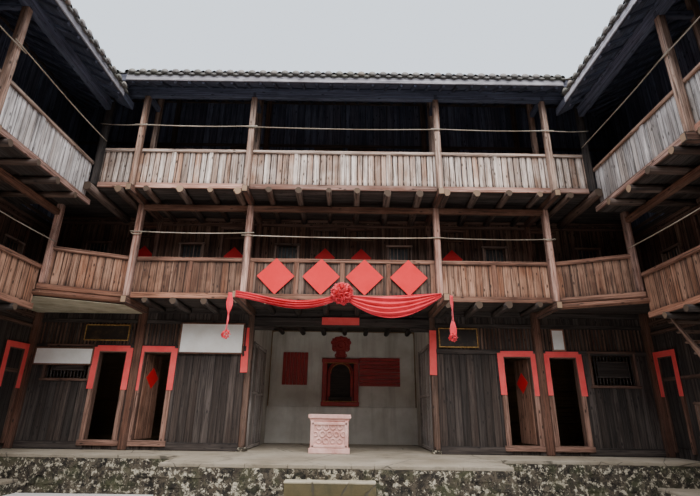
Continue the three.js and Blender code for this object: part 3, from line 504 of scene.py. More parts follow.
def roundLog():
    rod(12)
    cuts = [(meshOps.bisect, {"plane_co": (x, 0, 0), "plane_no": (1, 0, 0)}) for x in (0.1, -0.15)]
    edit(*cuts, (bpy.ops.transform.vertex_random, {"offset": 0.035, "seed": 4}))


def thinPole():
    rod(8)
    edit((meshOps.bevel, {"offset": 0.04, "segments": 1}))


def saggingPole():  # its own weight bends it by about two thicknesses
    rod(8)
    edit(*((meshOps.bisect, {"plane_co": (i * 0.0625, 0, 0), "plane_no": (1, 0, 0)}) for i in range(-7, 8)))
    for vertex in bpy.context.object.data.vertices:
        x = vertex.co.x
        vertex.co.z += 1.5 * (4 * x * x - 1)
        vertex.co.y += 0.15 * math.sin(7 * x)


def roughStone(seed):
    def maker():
        meshOps.primitive_cube_add(size=1)
        rough, smooth = {"offset": 0.085, "seed": seed}, {"factor": 0.35, "repeat": 1}
        edit((meshOps.subdivide, {"number_cuts": 1}), (bpy.ops.transform.vertex_random, rough),
             (meshOps.vertices_smooth, smooth))
        for vertex in bpy.context.object.data.vertices:
            vertex.co = Vector([max(-0.5, min(0.5, c * 1.18)) for c in vertex.co])
    return maker


def lowerLip(thing, shift, squeeze=None):  # shows the tile's thickness, towards -y
    for edge in thing.data.edges:
        edge.select = all(thing.data.vertices[i].co.y < -0.49 for i in edge.vertices)
    bpy.ops.object.mode_set(mode="EDIT")
    meshOps.extrude_region_move(TRANSFORM_OT_translate={"value": shift})
    if squeeze:
        bpy.ops.transform.resize(value=squeeze)
    bpy.ops.object.mode_set(mode="OBJECT")


def coverTile():  # half-round
    rod(8, (math.pi / 2, 0, 0), "NOTHING")
    edit((meshOps.bisect, {"plane_co": (0, 0, 0.001), "plane_no": (0, 0, 1), "clear_inner": True}),
         (meshOps.select_all, {"action": "DESELECT"}))
    thing = bpy.context.object
    lowerLip(thing, (0, 0.02, 0), (0.74, 1, 0.70))
    for vertex in thing.data.vertices:
        if vertex.co.y < -0.4:
            vertex.co.z += 0.10


def panTile():  # shallow trough between two cover tiles
    meshOps.primitive_grid_add(x_subdivisions=3, y_subdivisions=1, size=1)
    thing = bpy.context.object
    for vertex in thing.data.vertices:
        vertex.co.z = 1.6 * vertex.co.x * vertex.co.x + (0.22 if vertex.co.y < 0 else 0.0)
    lowerLip(thing, (0, 0.01, -0.35))


def ridgeCap():
    rod(12)
    edit((meshOps.bisect, {"plane_co": (0, 0, -0.12), "plane_no": (0, 0, 1), "clear_inner": True, "use_fill": True}))


def wavyPlaster():
    meshOps.primitive_grid_add(x_subdivisions=30, y_subdivisions=24, size=1, rotation=(math.pi / 2, 0, 0))
    bpy.ops.object.transform_apply(rotation=True)
    edit((bpy.ops.transform.vertex_random, {"offset": 0.0025, "seed": 6}),
         (meshOps.vertices_smooth, {"factor": 0.5, "repeat": 2}))


def scrollRing():
    ring = {"major_segments": 16, "minor_segments": 6, "major_radius": 0.36, "minor_radius": 0.13}
    meshOps.primitive_torus_add(**ring, rotation=(math.pi / 2, 0, 0))
    bpy.ops.object.transform_apply(rotation=True)


def ruffledPetal():
    meshOps.primitive_grid_add(x_subdivisions=6, y_subdivisions=4, size=1)
    for vertex in bpy.context.object.data.vertices:
        x, y = vertex.co.xy
        edge = y + 0.5
        high = 0.55 * x * x + 0.12 * edge * math.sin(9 * x) + 0.25 * edge * edge
        vertex.co = (x * (0.45 + 0.75 * edge), y, high)
    thicken(bpy.context.object, 0.03)


def thicken(piece, thickness):
    solid = piece.modifiers.new("cloth", "SOLIDIFY")
    solid.thickness = thickness
    bpy.ops.object.modifier_apply(modifier=solid.name)


board = Pattern(bevelled(0.005, 1))
sturdy = Pattern(bevelled(0.022, 2))
slab = Pattern(bevelled(0.012, 2))
sheetOf = Pattern(pastedSheet, False)
log = Pattern(roundLog, (True, False, False), True)
logEnd = Pattern(lambda: rod(12), False)
pole, bent, cover, pan, cap, plasterSheet, ring, petal = (
    Pattern(maker, False, True)
    for maker in (thinPole, saggingPole, coverTile, panTile, ridgeCap, wavyPlaster, scrollRing, ruffledPetal))
stones = [Pattern(roughStone(seed), False) for seed in (3, 8, 14, 27)]


def seat(piece, finish, body="house", nodes=()):
    piece.data.materials.append(finishes[finish])
    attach(piece, body)
    if nodes:
        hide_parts(*nodes)
    return piece


class Stack:  # copies laid into one piece; the draws for one copy keep their order
    def __init__(self, name, finish, seed=1, place=None, body="house"):
        self.name, self.finish, self.body = name, finish, body
        self.rand = random.Random(seed)
        self.rows, self.faces, self.smooth, self.count = [], [], [], 0
        self.place = place or Matrix.Identity(4)

    def put(self, pattern, place, size, tone=None):
        local = pattern.fitted(size)
        whole = np.array(self.place @ place)
        shift = np.array([self.rand.uniform(-40, 40) for _ in range(3)]) * (1, 0.02, 0.02)
        tone = self.rand.random() if tone is None else tone
        points = local @ whole[:3, :3].T + whole[:3, 3]
        self.rows.append(np.column_stack((points, local + shift, pattern.points, np.full(len(local), tone))))
        self.faces.extend(tuple(i + self.count for i in face) for face in pattern.faces)
        self.smooth.extend([pattern.smooth] * len(pattern.faces))
        self.count += len(local)

    def build(self, *nodes):
        if not self.rows:
            return None
        rows = np.concatenate(self.rows)
        mesh = bpy.data.meshes.new(self.name)
        mesh.from_pydata(rows[:, :3].tolist(), [], self.faces)
        mesh.polygons.foreach_set("use_smooth", self.smooth)
        mesh.attributes.new("tone", "FLOAT", "POINT").data.foreach_set("value", rows[:, 9])
        for name, first in (("grain", 3), ("share", 6)):
            carried = mesh.attributes.new(name, "FLOAT_VECTOR", "POINT")
            carried.data.foreach_set("vector", rows[:, first:first + 3].ravel())
        piece = bpy.data.objects.new(self.name, mesh)
        bpy.context.scene.collection.objects.link(piece)
        return seat(piece, self.finish, self.body, nodes)


def stacksOf(label, seed, place=None, **kinds):  # a stack for each kind of piece, by its finish
    names = [label + kind[0].upper() + kind[1:] if label else kind for kind in kinds]
    return [Stack(name, finish, seed + i, place) for i, (name, finish) in enumerate(zip(names, kinds.values()))]


def buildAll(*stacks):
    for stack in stacks:
        stack.build()


def seedOf(label):
    return sum(ord(c) for c in label)


# The house's measures, as in the part's source

sides = (-1, 1)
flat = Matrix.Identity(4)
house = {
    "ground": 0.24, "second": 3.68, "third": 6.16, "deck": 0.12, "beamDeep": 0.16, "plinth": 0.70, "front": 7.70,
    "secondEdge": 6.60, "thirdEdge": 5.92, "shortEdge": 5.85, "eaveIn": 5.25, "eaveOut": 13.75, "wallOut": 12.15,
    "under": 8.56, "top": 8.76, "slope": 0.53, "ridge": 9.50, "step": 0.46 / 0.53, "half": 7.68,
}
wings = {
    "hall": {"turn": 0, "rise": 0.46, "long": True, "posts": (-4.95, -2.27, 2.27, 4.95)},
    "left": {"turn": 90, "rise": 0, "long": False, "posts": (-2.72, 0, 2.72)},
    "gate": {"turn": 180, "rise": 0, "long": True, "posts": (-4.95, -2.27, 2.27, 4.95)},
    "right": {"turn": -90, "rise": 0, "long": False, "posts": (-2.72, 0, 2.72)},
}
hallEnd = {"left": 1, "right": -1}  # which end of a side wing meets the hall wing
for wing in wings.values():
    wing["place"] = lying(0, 0, wing["rise"], wing["turn"])


def roofUnder(y):
    return house["under"] + house["slope"] * (y - house["eaveIn"])


def stand(stack, pattern, x, y, low, high, size, tone=None, turn=0.0):  # an upright piece between two heights
    stack.put(pattern, upright(x, y, (low + high) / 2, turn), (high - low, *size), tone)


def level(stack, pattern, x0, x1, y, z, size, tone=None):  # a level piece between two ends
    stack.put(pattern, lying((x0 + x1) / 2, y, z), (x1 - x0, *size), tone)


def bearing(run):
    return math.degrees(math.atan2(run[1], run[0]))


# Galleries

gallery = {
    "post": {"second": 0.162, "third": 0.14}, "railHigh": {"second": 0.88, "third": 0.94}, "plateDeep": 0.14,
    "rail": {"second": (0.105, 0.10), "third": (0.09, 0.095)}, "boardWide": {"second": 0.17, "third": 0.145},
    "boardThick": 0.026, "gap": {"hallThird": (0.008, 0.017), "second": (0.002, 0.006), "third": (0.003, 0.008)},
    "canted": {"start": 5.021, "along": 6.54, "out": 5.88}, "edgeHigh": 0.135, "half": 0.07, "plate": 8.54,
    "stiles": {"second": (-3.6, -2.14, -1.08, 0.01, 1.10, 2.14, 3.6), "third": (-4.1, -3.2, -1.15, -0.03, 1.08, 3.65)},
    "otherStiles": (-3.9, -1.3, 1.3, 3.9), "poleHigh": {"second": 1.42, "third": 1.50}, "shadedHalf": 2.25,
    "paintedLightAndShade": {  # stretches with painted light or painted shade, lighter or darker than the rest: from, to, how much
        "hallSecond": ((-7, -5.02, 0.36), (-5.02, -2.27, -0.3), (2.27, 5.02, 0.35), (5.02, 7, -0.2)),
        "leftSecond": ((-6, 6, 0.55),), "leftThird": ((-6, 6, 0.6),), "rightThird": ((-6, 6, -0.25),),
    },
}


def stretch(boards, rails, shaded, rand, label, storey, start, end):  # handrail, foot rail and close boards
    run = (end[0] - start[0], end[1] - start[1])
    length, origin = math.hypot(*run), lying(*start, house[storey], bearing(run))
    high, (railHigh, railWide) = gallery["railHigh"][storey], gallery["rail"][storey]
    place = origin @ lying(length / 2, railWide / 2 - 0.022, high - railHigh / 2)
    rails.put(sturdy, place, (length + 0.02, railWide, railHigh), rand.uniform(0.3, 0.6))
    rails.put(board, origin @ lying(length / 2, 0.075, 0.16), (length, 0.04, 0.07), 0.4)
    gap, paintedLightAndShade = gallery["gap"].get(label, gallery["gap"][storey]), gallery["paintedLightAndShade"].get(label, ())
    widths = [rand.uniform(0.84, 1.16) for _ in range(max(1, round(length / gallery["boardWide"][storey])))]
    scale, tall, x = length / sum(widths), high - railHigh + 0.006, 0.0
    for width in widths:
        width *= scale
        y = 0.028 + rand.uniform(-0.003, 0.003)
        place = origin @ upright(x + width / 2, y, tall / 2 + 0.004, rand.uniform(-1.2, 1.2))
        at = start[0] + run[0] * x / length
        # painted light or shade of this stretch, added to the board's random tone
        lit = sum(more for low, top, more in paintedLightAndShade if low < at <= top)
        tone = max(0.0, min(1.0, 0.1 + 0.8 * rand.random() + lit))
        dim = label == "hallSecond" and abs(at + width / 2) < gallery["shadedHalf"]
        size = (tall, gallery["boardThick"], width - rand.uniform(*gap))
        (shaded if dim else boards).put(board, place, size, tone)
        x += width


def reachOf(wing):  # half the length of a second-floor gallery
    return gallery["canted"]["start"] if wing["long"] else house["shortEdge"]


def makeGallery(name, wing, storey):
    third, long, hall = storey == "third", wing["long"], name == "hall"
    floor, edge, label = house[storey], house[storey + "Edge"], name + storey.capitalize()
    rand = random.Random(seedOf(label))
    woods = (("silvered", "handrail") if hall else ("bleached", "post")) if third else ("warm", "rail")
    boards, rails, posts, poles, plates, corners, shaded = stacksOf(
        label, seedOf(label), wing["place"], balustradeBoards=woods[0], rails=woods[1],
        posts="post" if third else "umber", dryingPoles="bamboo", plates="shadowBlue" if third else "rail",
        cornerPosts="dark", shadedBoards="shaded")
    wide, y, low = gallery["post"][storey], edge - gallery["half"], floor - house["deck"]
    if third:
        end, top = edge - (0.01 if long else wide), 8.55
    else:
        end, top = reachOf(wing), house["third"] - house["deck"] - house["beamDeep"]
    stretch(boards, rails, shaded, rand, label, storey, (-end, edge), (end, edge))
    for along in wing["posts"]:
        thick = wide + rand.uniform(-0.012, 0.006)
        turn = rand.uniform(-2, 2)
        stand(posts, sturdy, along, y, low, top, (thick, thick), rand.uniform(0.45, 0.95), turn)
        if third:  # a second post farther in, tied to the first
            inner = house["secondEdge"]
            stand(posts, sturdy, along, inner - gallery["half"], floor, roofUnder(inner - wide), (thick, thick))
            tie = inner - edge + 0.14
            plates.put(sturdy, lying(along, inner - tie / 2, 8.615, 90), (tie, 0.10, 0.15))
    if third:
        plate, high = gallery["plate"], roofUnder(edge - 0.14)
        level(plates, sturdy, -end, end, y, (plate + high) / 2, (0.13, high - plate))
        # corner posts in the dark finish: painted shade, so that they recede
        for side in sides if long else ():
            stand(corners, sturdy, side * y, y, low, high, (0.14, 0.14), 0.3)
    else:
        deep, canted = gallery["plateDeep"], gallery["canted"]
        level(plates, sturdy, -end, end, y, top - deep / 2, (0.13, deep), 0.1)
        for side in sides if long else ():
            ends = [(side * end, edge), (side * canted["along"], canted["out"])][::side]
            stretch(boards, rails, shaded, rand, label, storey, *ends)
            tip = house["third"] - house["deck"] - wing["rise"]
            stand(posts, sturdy, side * 6.53, 5.92, floor, tip, (0.14, 0.14))
    stile = gallery["railHigh"][storey] - 0.10
    for x in gallery["stiles"][storey] if hall else gallery["otherStiles"]:
        place = upright(x, edge + 0.012, floor + stile / 2 + 0.01)
        (boards if third else rails).put(board, place, (stile, 0.05, 0.115), 0.75 if third else 0.25)
    stops = [-end + 0.1, *wing["posts"], end - 0.1]
    for a, b in zip(stops, stops[1:]):
        z = floor + gallery["poleHigh"][storey] + rand.uniform(-0.02, 0.05)
        poles.put(bent, lying((a + b) / 2, edge - 0.165, z), (b - a + 0.3, 0.024, 0.024))
    buildAll(boards, poles, plates, shaded, corners)
    split = not third and not long
    rails.build(*([f"{name}_wing_second_balustrade"] if split else []))
    posts.build(f"{name}_wing_second_posts" if split else f"{name}_wing_{storey}_gallery")


for name, wing in wings.items():
    for storey in ("second", "third"):
        makeGallery(name, wing, storey)
print("stage: galleries")

# Floors: edge beams, round joists with sawn ends, and dark boards on the frame's own slabs

joists = {
    "spacing": 0.70, "thick": 0.165, "corner": 0.21, "past": {"second": 0.10, "third": 0.11}, "edgeThick": 0.04,
    "nose": {"second": 6.40, "third": 5.70}, "longNose": 5.80, "cornerTip": 5.62,
}


def layLog(logs, ends, place, run, thick, tones=None):
    logs.put(log, place, (run, thick, thick))
    tone = logs.rand.uniform(*tones) if tones else None
    ends.put(logEnd, place @ moved(-run / 2 - 0.001, 0, 0), (0.006, thick * 0.99, thick * 0.99), tone)


def makeFloor(name, wing, storey):
    third, long = storey == "third", wing["long"]
    floor, edge, label = house[storey], house[storey + "Edge"], name + storey.capitalize()
    logs, ends, edges, beams = stacksOf(
        label, seedOf(label) + 50, wing["place"], joists="joist" if third else "dark", joistEnds="logEnd",
        edgeBeam="umber" if third else "rail", cantilevers="jamb")
    rand, front, z, beamDeep = logs.rand, house["front"], floor - house["deck"], house["beamDeep"]
    reach = edge if third else reachOf(wing)
    count = int(reach / joists["spacing"] - 0.5)
    for i in range(-count - 1, count + 1):
        thick = joists["thick"] * rand.uniform(0.78, 1.12)
        tip = edge - joists["past"][storey] + rand.uniform(-0.05, 0.05)
        x = (i + 0.5) * joists["spacing"] + rand.uniform(-0.05, 0.05)
        place = lying(x, (tip + front) / 2, z - thick / 2 + 0.004, 90 + rand.uniform(-1.2, 1.2))
        layLog(logs, ends, place, front - tip, thick, None if third else (0.5, 1.0))
    for along in wing["posts"]:  # a sleeve of worn timber on each cantilever, and its sawn nose
        nose = joists["longNose"] if label == "hallSecond" and abs(along) < 3 else joists["nose"][storey]
        place = lying(along, (nose + front) / 2, z - beamDeep / 2, 90)
        beams.put(sturdy, place, (front - nose, 0.126, beamDeep + 0.006), rand.uniform(0.3, 0.8))
        place = lying(along, nose - 0.004, z - beamDeep / 2)
        ends.put(board, place, (0.112, 0.008, 0.142), rand.uniform(0.0, 0.45))
    for side in sides if third and long else ():
        thick, tip = joists["corner"], joists["cornerTip"]
        layLog(logs, ends, lying(side * 5.86, (tip + front) / 2, z - thick / 2, 90), front - tip, thick)
    stops, thick, high = [-reach, *wing["posts"], reach], joists["edgeThick"], gallery["edgeHigh"]
    for a, b in zip(stops, stops[1:]):
        place = lying((a + b) / 2, edge - thick / 2, floor - high / 2 + 0.006)
        edges.put(board, place, (b - a - 0.004, thick, high))
    for side in sides if long and not third else ():  # along the canted bay
        start, stop = Vector((side * 5.03, 6.58)), Vector((side * 6.60, 5.84))
        (x, y), run = (start + stop) / 2, stop - start
        turn = bearing(run)
        edges.put(sturdy, lying(x, y, floor - 0.07, turn), (run.length, 0.09, 0.13))
        edges.put(log, lying(x, y + 0.02, floor - 0.20, turn), (run.length + 0.16, 0.14, 0.14))
        for end in (start, stop):
            place = lying(end.x, end.y + 0.02, floor - 0.20, turn) @ moved(math.copysign(0.085, end.x - x), 0, 0)
            ends.put(logEnd, place, (0.006, 0.138, 0.138), 0.1)
    buildAll(logs, ends, edges, beams)


baySoffit = {
    "corner": (-6.62, 5.85, 3.846), "slant": math.atan2(0.75, 1.579), "plank": (4.6, 0.215, 0.014), "count": 10,
    "cuts": (
        ((-5.0, 0, 0), (1, 0, 0)), ((0, 7.605, 0), (0, 1, 0)), ((0, 5.88, 0), (0, -1, 0)), ((-7.62, 0, 0), (-1, 0, 0)),
    ),
}


def makeBaySoffit():  # old limewashed boards close the hall wing's left canted bay from below
    long, wide, thick = baySoffit["plank"]
    along, planks = moved(*baySoffit["corner"]) @ Matrix.Rotation(baySoffit["slant"], 4, "Z"), []
    for i in range(baySoffit["count"]):
        meshOps.primitive_cube_add(size=1)
        planks.append(bpy.context.object)
        place = along @ moved(0.6, wide * (i + 0.5), 0.0012 * (i % 3))
        planks[-1].data.transform(place @ Matrix.Diagonal((long, wide - 0.005, thick, 1)))
    for plank in planks:
        plank.select_set(True)
    bpy.context.view_layer.objects.active = planks[0]
    bpy.ops.object.join()
    cutBy(baySoffit["cuts"])
    bpy.context.object.name = "cantedBaySoffit"
    seat(bpy.context.object, "olive")
    bpy.ops.object.select_all(action="DESELECT")


stairs = {
    "left": (6.10, 2.90), "right": (-3.15, -5.75), "count": 14, "tread": 0.045, "inner": 6.82, "outer": 7.62,
    "string": 0.05,
}


def sideString(outline):
    def maker():
        meshOps.primitive_cube_add(size=1)
        bpy.context.object.data.transform(Matrix.Diagonal((6, stairs["string"], 3, 1)))
        planes = []
        for a, b in zip(outline, outline[1:] + outline[:1]):
            out = Vector((b.y - a.y, a.x - b.x))
            if out.dot(a) < 0:
                out = -out
            planes.append(((a.x, 0, a.y), (out.x, 0, out.y)))
        cutBy(planes)
    return maker


def makeStair(name):
    (foot, head), low, high = stairs[name], house["ground"] + 0.001, house["second"]
    ahead, middle = math.copysign(1, head - foot), Vector(((foot + head) / 2, (low + high) / 2))
    slope = math.atan2(high - low - 0.20, head - ahead * 0.06 - foot)
    side = [(foot, low), (foot + ahead * 0.26, low), (head, high - 0.33), (head, high), (head - ahead * 0.06, high)]
    side = [Vector(corner) - middle for corner in (*side, (foot, low + 0.20))]
    up, on = math.sin(slope), math.cos(slope)
    string = Pattern(sideString([Vector((p.x * on + p.y * up, p.y * on - p.x * up)) for p in side]), False)
    inner, outer, thick, tread = (stairs[key] for key in ("inner", "outer", "string", "tread"))
    wood = Stack(name + "StairTimbers", "post", 21, wings[name]["place"])
    for y in (inner + thick / 2, outer - thick / 2):
        place = moved(middle.x, y, middle.y) @ Matrix.Rotation(-slope, 4, "Y")
        wood.put(string, place, (1, 1, 1), wood.rand.uniform(0.4, 0.8))
    steps = stairs["count"] + 1
    rise, run = (high - house["ground"]) / steps, (head - foot) / steps
    for i in range(1, steps):
        x = foot + run * i + math.copysign(0.02, run)
        place = lying(x, (inner + outer) / 2, house["ground"] + rise * i - tread / 2, 90)
        wood.put(sturdy, place, (outer - inner - 0.04, abs(run) + 0.04, tread), wood.rand.uniform(0.1, 0.7))
    wood.build(name + "_stair")


for name, wing in wings.items():
    for storey in ("second", "third"):
        makeFloor(name, wing, storey)
makeBaySoffit()
for name in ("left", "right"):
    makeStair(name)
print("stage: floors and stairs")

# Room fronts: close boards with frames, closed doors, barred windows

fronts = {
    # the third floor's room fronts take the timber with the blue cast of painted shade
    "boardWide": 0.19, "thick": 0.018, "boards": {"third": "shadowBlue", "second": "smoked", "ground": "dark"},
    "door": {"wide": 0.66, "high": 1.90, "sill": 0.15}, "groundDoor": {"wide": 0.66, "high": 2.00, "sill": 0.20},
    "window": {"wide": 0.57, "high": 0.65, "sill": 0.95}, "groundWindow": {"wide": 0.57, "high": 0.75, "sill": 0.95},
    "longDoors": (-5.28, -2.89, -0.48, 0.48, 2.89, 5.28), "longWindows": (-6.50, -4.02, -1.49, 1.49, 4.02, 6.50),
    "shortDoors": (-5.00, -3.35, -0.60, 0.60, 3.35, 5.00), "shortWindows": (-6.30, -4.18, -1.65, 1.65, 4.18, 6.30),
    "cornerDoor": {"left": 7.22, "right": -7.22}, "gatePassage": (-1.30, 1.30, 0.0, 3.29),
}
paper = Stack("redPaperSheets", "paper", 5)
couplets = Stack("doorCouplets", "litPaper", 6)


def openingOf(along, floor, kind):
    low = floor + kind["sill"]
    return (along - kind["wide"] / 2, along + kind["wide"] / 2, low, low + kind["high"])


def boardUp(stack, x0, x1, low, high, holes):
    face, rand = house["front"] - fronts["thick"] / 2, stack.rand
    cuts = sorted({x0, x1, *[c for hole in holes for c in hole[:2] if x0 < c < x1]})
    for a, b in zip(cuts, cuts[1:]):
        over = sorted((h[2], h[3]) for h in holes if h[0] < (a + b) / 2 < h[1])
        levels = [low, *[z for span in over for z in span], high]
        count = max(1, round((b - a) / fronts["boardWide"]))
        wide = (b - a) / count
        for i in range(count):
            for z0, z1 in zip(levels[::2], levels[1::2]):
                if z1 - z0 > 0.03:
                    thick = fronts["thick"] * rand.uniform(0.75, 1.2)
                    y = face + rand.uniform(-0.002, 0.002)
                    turn = rand.uniform(-0.6, 0.6)
                    stand(stack, board, a + (i + 0.5) * wide, y, z0, z1, (thick, wide - 0.004), turn=turn)


def frameHole(stack, hole, wide, proud, tone=None):
    x0, x1, z0, z1 = hole
    deep = 0.12 + proud
    y = house["front"] - proud + deep / 2 - 0.004
    for x in (x0 - wide / 2 + 0.012, x1 + wide / 2 - 0.012):
        stand(stack, board, x, y, z0 - wide, z1 + wide, (deep, wide), tone)
    for z, longer in ((z0 - wide / 2 + 0.008, 0.05), (z1 + wide / 2 - 0.008, 0.02)):
        stack.put(board, lying((x0 + x1) / 2, y - 0.006, z), (x1 - x0 + 2 * wide + longer, deep, wide), tone)


def barWindow(stack, hole, count, proud, thick):
    x0, x1, z0, z1 = hole
    for i in range(count):
        x = x0 + (x1 - x0) * (i + 0.5) / count
        stack.put(pole, upright(x, house["front"] + proud, (z0 + z1) / 2), (z1 - z0 + 0.01, thick, thick))


def closedDoor(stack, hole):
    x0, x1, z0, z1 = hole
    wide = (x1 - x0) / 3
    for i in range(3):
        place = upright(x0 + (i + 0.5) * wide, house["front"] + 0.035, (z0 + z1) / 2)
        stack.put(board, place, (z1 - z0 - 0.01, 0.03, wide - 0.004))
    for z in (z0 + 0.25, z1 - 0.25):
        stack.put(board, lying((x0 + x1) / 2, house["front"] + 0.016, z), (x1 - x0 - 0.03, 0.02, 0.07))


def paste(stack, where, x, y, z, wide, high, turn=0.0):
    stack.place = where
    stack.put(sheetOf, moved(x, y, z) @ turned(turn, "Y"), (wide, 0.003, high))


def pasteDiamond(where, x, y, z, half):
    paste(paper, where, x, y, z, half * 1.414, half * 1.414, 45)


def makeFront(name, wing, storey):
    floor, long, label = house[storey], wing["long"], name + storey.capitalize()
    boards, frames, leaves, panes, sashes, shut = stacksOf(
        label, seedOf(label) + 90, wing["place"], frontBoards=fronts["boards"][storey],
        frontFrames="joist" if storey == "third" else "jamb", frontDoors="smoked", frontPanes="pane",
        frontSashes="post", cornerDoor="dark")
    front, half, deck = house["front"], house["half"], house["deck"]
    top = {"ground": house["second"] - deck, "second": house["third"] - deck, "third": roofUnder(front)}[storey]
    doorAt, windowAt = (fronts[("long" if long else "short") + kind] for kind in ("Doors", "Windows"))
    doorKind, windowKind, passage = fronts["door"], fronts["window"], ()
    if label == "gateGround":
        doorAt, windowAt = [x for x in doorAt if abs(x) > 1.3], (-4.02, 4.02)
        doorKind, windowKind, passage = fronts["groundDoor"], fronts["groundWindow"], fronts["gatePassage"]
    doors = [openingOf(x, floor, doorKind) for x in doorAt]
    windows = [openingOf(x, floor, windowKind) for x in windowAt]
    boardUp(boards, -half, half, floor, top, doors + windows + ([passage] if passage else []))
    for hole in doors:
        frameHole(frames, hole, 0.07, 0.03)
        closedDoor(leaves, hole)
    for hole in windows:
        x0, x1, z0, z1 = hole
        frameHole(sashes, hole, 0.055, 0.035)
        barWindow(sashes, hole, 6, 0.03, 0.024)
        place = lying((x0 + x1) / 2, front + 0.085, (z0 + z1) / 2)
        panes.put(board, place, (x1 - x0 - 0.004, 0.012, z1 - z0 - 0.004))
    for along in wing["posts"]:
        stand(frames, sturdy, along, front - 0.025, floor, top, (0.09, 0.15))
    stops = [-half, *passage[:2], half]
    for z in (floor + 0.07, floor + fronts["door"]["sill"] + fronts["door"]["high"] + 0.12, top - 0.06):
        for a, b in zip(stops[::2], stops[1::2]):
            level(frames, board, a, b, front - 0.022, z, (0.03, 0.09), 0.2)
    if storey == "ground" and not long:  # the corner room's door, up on the hall's plinth
        middle = fronts["cornerDoor"][name]
        for x in (middle - 0.30, middle + 0.30):
            stand(frames, board, x, front - 0.035, 0.82, 2.98, (0.06, 0.10), 0.6)
        frames.put(board, lying(middle, front - 0.035, 2.945), (0.70, 0.062, 0.09), 0.6)
        for i in (-1, 0, 1):
            stand(shut, board, middle + i * 0.166, front - 0.026, 0.91, 2.89, (0.012, 0.160), 0.0)
    buildAll(shut, boards, frames, leaves, panes, sashes)


for name, wing in wings.items():
    for storey in ("ground", "second", "third"):
        if (name, storey) != ("hall", "ground"):
            makeFront(name, wing, storey)
print("stage: room fronts")

# Hall wing, ground floor: z = 0 is the court

hallGround = {
    "low": 0.70, "top": 4.02, "band": (3.07, 3.62), "lath": 0.036, "lathStep": 0.088,
    "openDoors": ((-5.90, -5.24), (5.08, 5.74)), "leafDoors": ((-4.81, -4.15), (3.97, 4.63)),
    "lattices": ((-7.16, -6.10), (6.10, 7.16)), "latticeHigh": (2.26, 3.03), "doorHigh": (0.90, 2.90),
    "posts": (-7.60, -4.98, 4.85, 7.60), "strip": (0.145, 0.98), "header": (0.80, 0.135),
    "plainSigns": ((-3.97, -2.42, 2.90, 3.62), (-7.45, -6.05, 2.59, 2.98), (5.20, 5.50, 3.08, 3.58)),
    "darkSigns": ((-6.33, -5.26, 3.18, 3.55), (2.42, 3.36, 3.13, 3.58)),
}


def signboards(sheets, edges, rim, places):
    y = house["front"] - 0.075
    for x0, x1, z0, z1 in places:
        level(sheets, board, x0, x1, y, (z0 + z1) / 2, (0.02, z1 - z0))
        for x in (x0, x1):
            edges.put(board, upright(x, y, (z0 + z1) / 2), (z1 - z0 + rim, 0.035, rim))
        for z in (z0, z1):
            edges.put(board, lying((x0 + x1) / 2, y, z), (x1 - x0 + rim, 0.036, rim))


def makeHallFront():
    low, top, face, half = hallGround["low"], hallGround["top"], house["front"], house["half"]
    bandLow, bandTop = hallGround["band"]
    boards, frames, bars = stacksOf("hallGround", 61, boards="dark", frames="jamb", bars="dark")
    for side, (x0, x1) in enumerate(((-half, -2.34), (2.34, half))):
        doors = [(*hallGround[key][side], *hallGround["doorHigh"]) for key in ("openDoors", "leafDoors")]
        lattice = (*hallGround["lattices"][side], *hallGround["latticeHigh"])
        boardUp(boards, x0, x1, low, bandLow, doors + [lattice])
        boardUp(boards, x0, x1, bandTop, top, [])
        count = int((x1 - x0) / hallGround["lathStep"])
        for i in range(count):
            x = x0 + (i + 0.5) * (x1 - x0) / count
            stand(bars, board, x, face - 0.012, bandLow, bandTop, (0.024, hallGround["lath"]))
        for z, high in ((low + 0.09, 0.17), (bandLow - 0.045, 0.12), (bandTop + 0.04, 0.10), (top - 0.07, 0.14)):
            stops = [x0, *sorted(x for hole in doors for x in hole[:2]), x1] if z < 1 else [x0, x1]
            for a, b in zip(stops[::2], stops[1::2]):
                level(bars, board, a, b, face - 0.018, z, (0.045, high), 0.5)
        for hole in doors:
            frameHole(frames, hole, 0.125, 0.055, 0.9)
        frameHole(frames, lattice, 0.06, 0.04, 0.3)
        barWindow(bars, lattice, 13, 0.04, 0.03)
        x, z = sum(lattice[:2]) / 2, sum(lattice[2:]) / 2
        bars.put(board, lying(x, face + 0.015, z), (0.74, 0.02, 0.33))
        for z in (lattice[2] + 0.21, lattice[3] - 0.21):
            bars.put(board, lying(x, face + 0.012, z), (0.80, 0.03, 0.035))
    for x in hallGround["posts"]:
        stand(frames, sturdy, x, face - 0.03, low, top, (0.12, 0.21), 0.35)
    buildAll(frames, boards, bars)
    plain, dark, rims, golden = stacksOf(
        "", 71, bareSignboards="white", darkSignboards="ink", signboardRims="rail", signboardGiltRims="gilt")
    signboards(plain, rims, 0.035, hallGround["plainSigns"])
    signboards(dark, golden, 0.025, hallGround["darkSigns"])
    buildAll(plain, dark, rims, golden)


def pasteDoor(where, x0, x1, y, top):  # a strip on each side of a door and one over it
    (wide, high), rand = hallGround["strip"], couplets.rand
    for x in (x0 - 0.075, x1 + 0.075):
        z = top + 0.10 - high / 2 + rand.uniform(-0.02, 0.02)
        paste(couplets, where, x, y, z, wide, high, rand.uniform(-1.2, 1.2))
    paste(couplets, where, (x0 + x1) / 2, y + 0.002, top + 0.085, *hallGround["header"], rand.uniform(-0.8, 0.8))


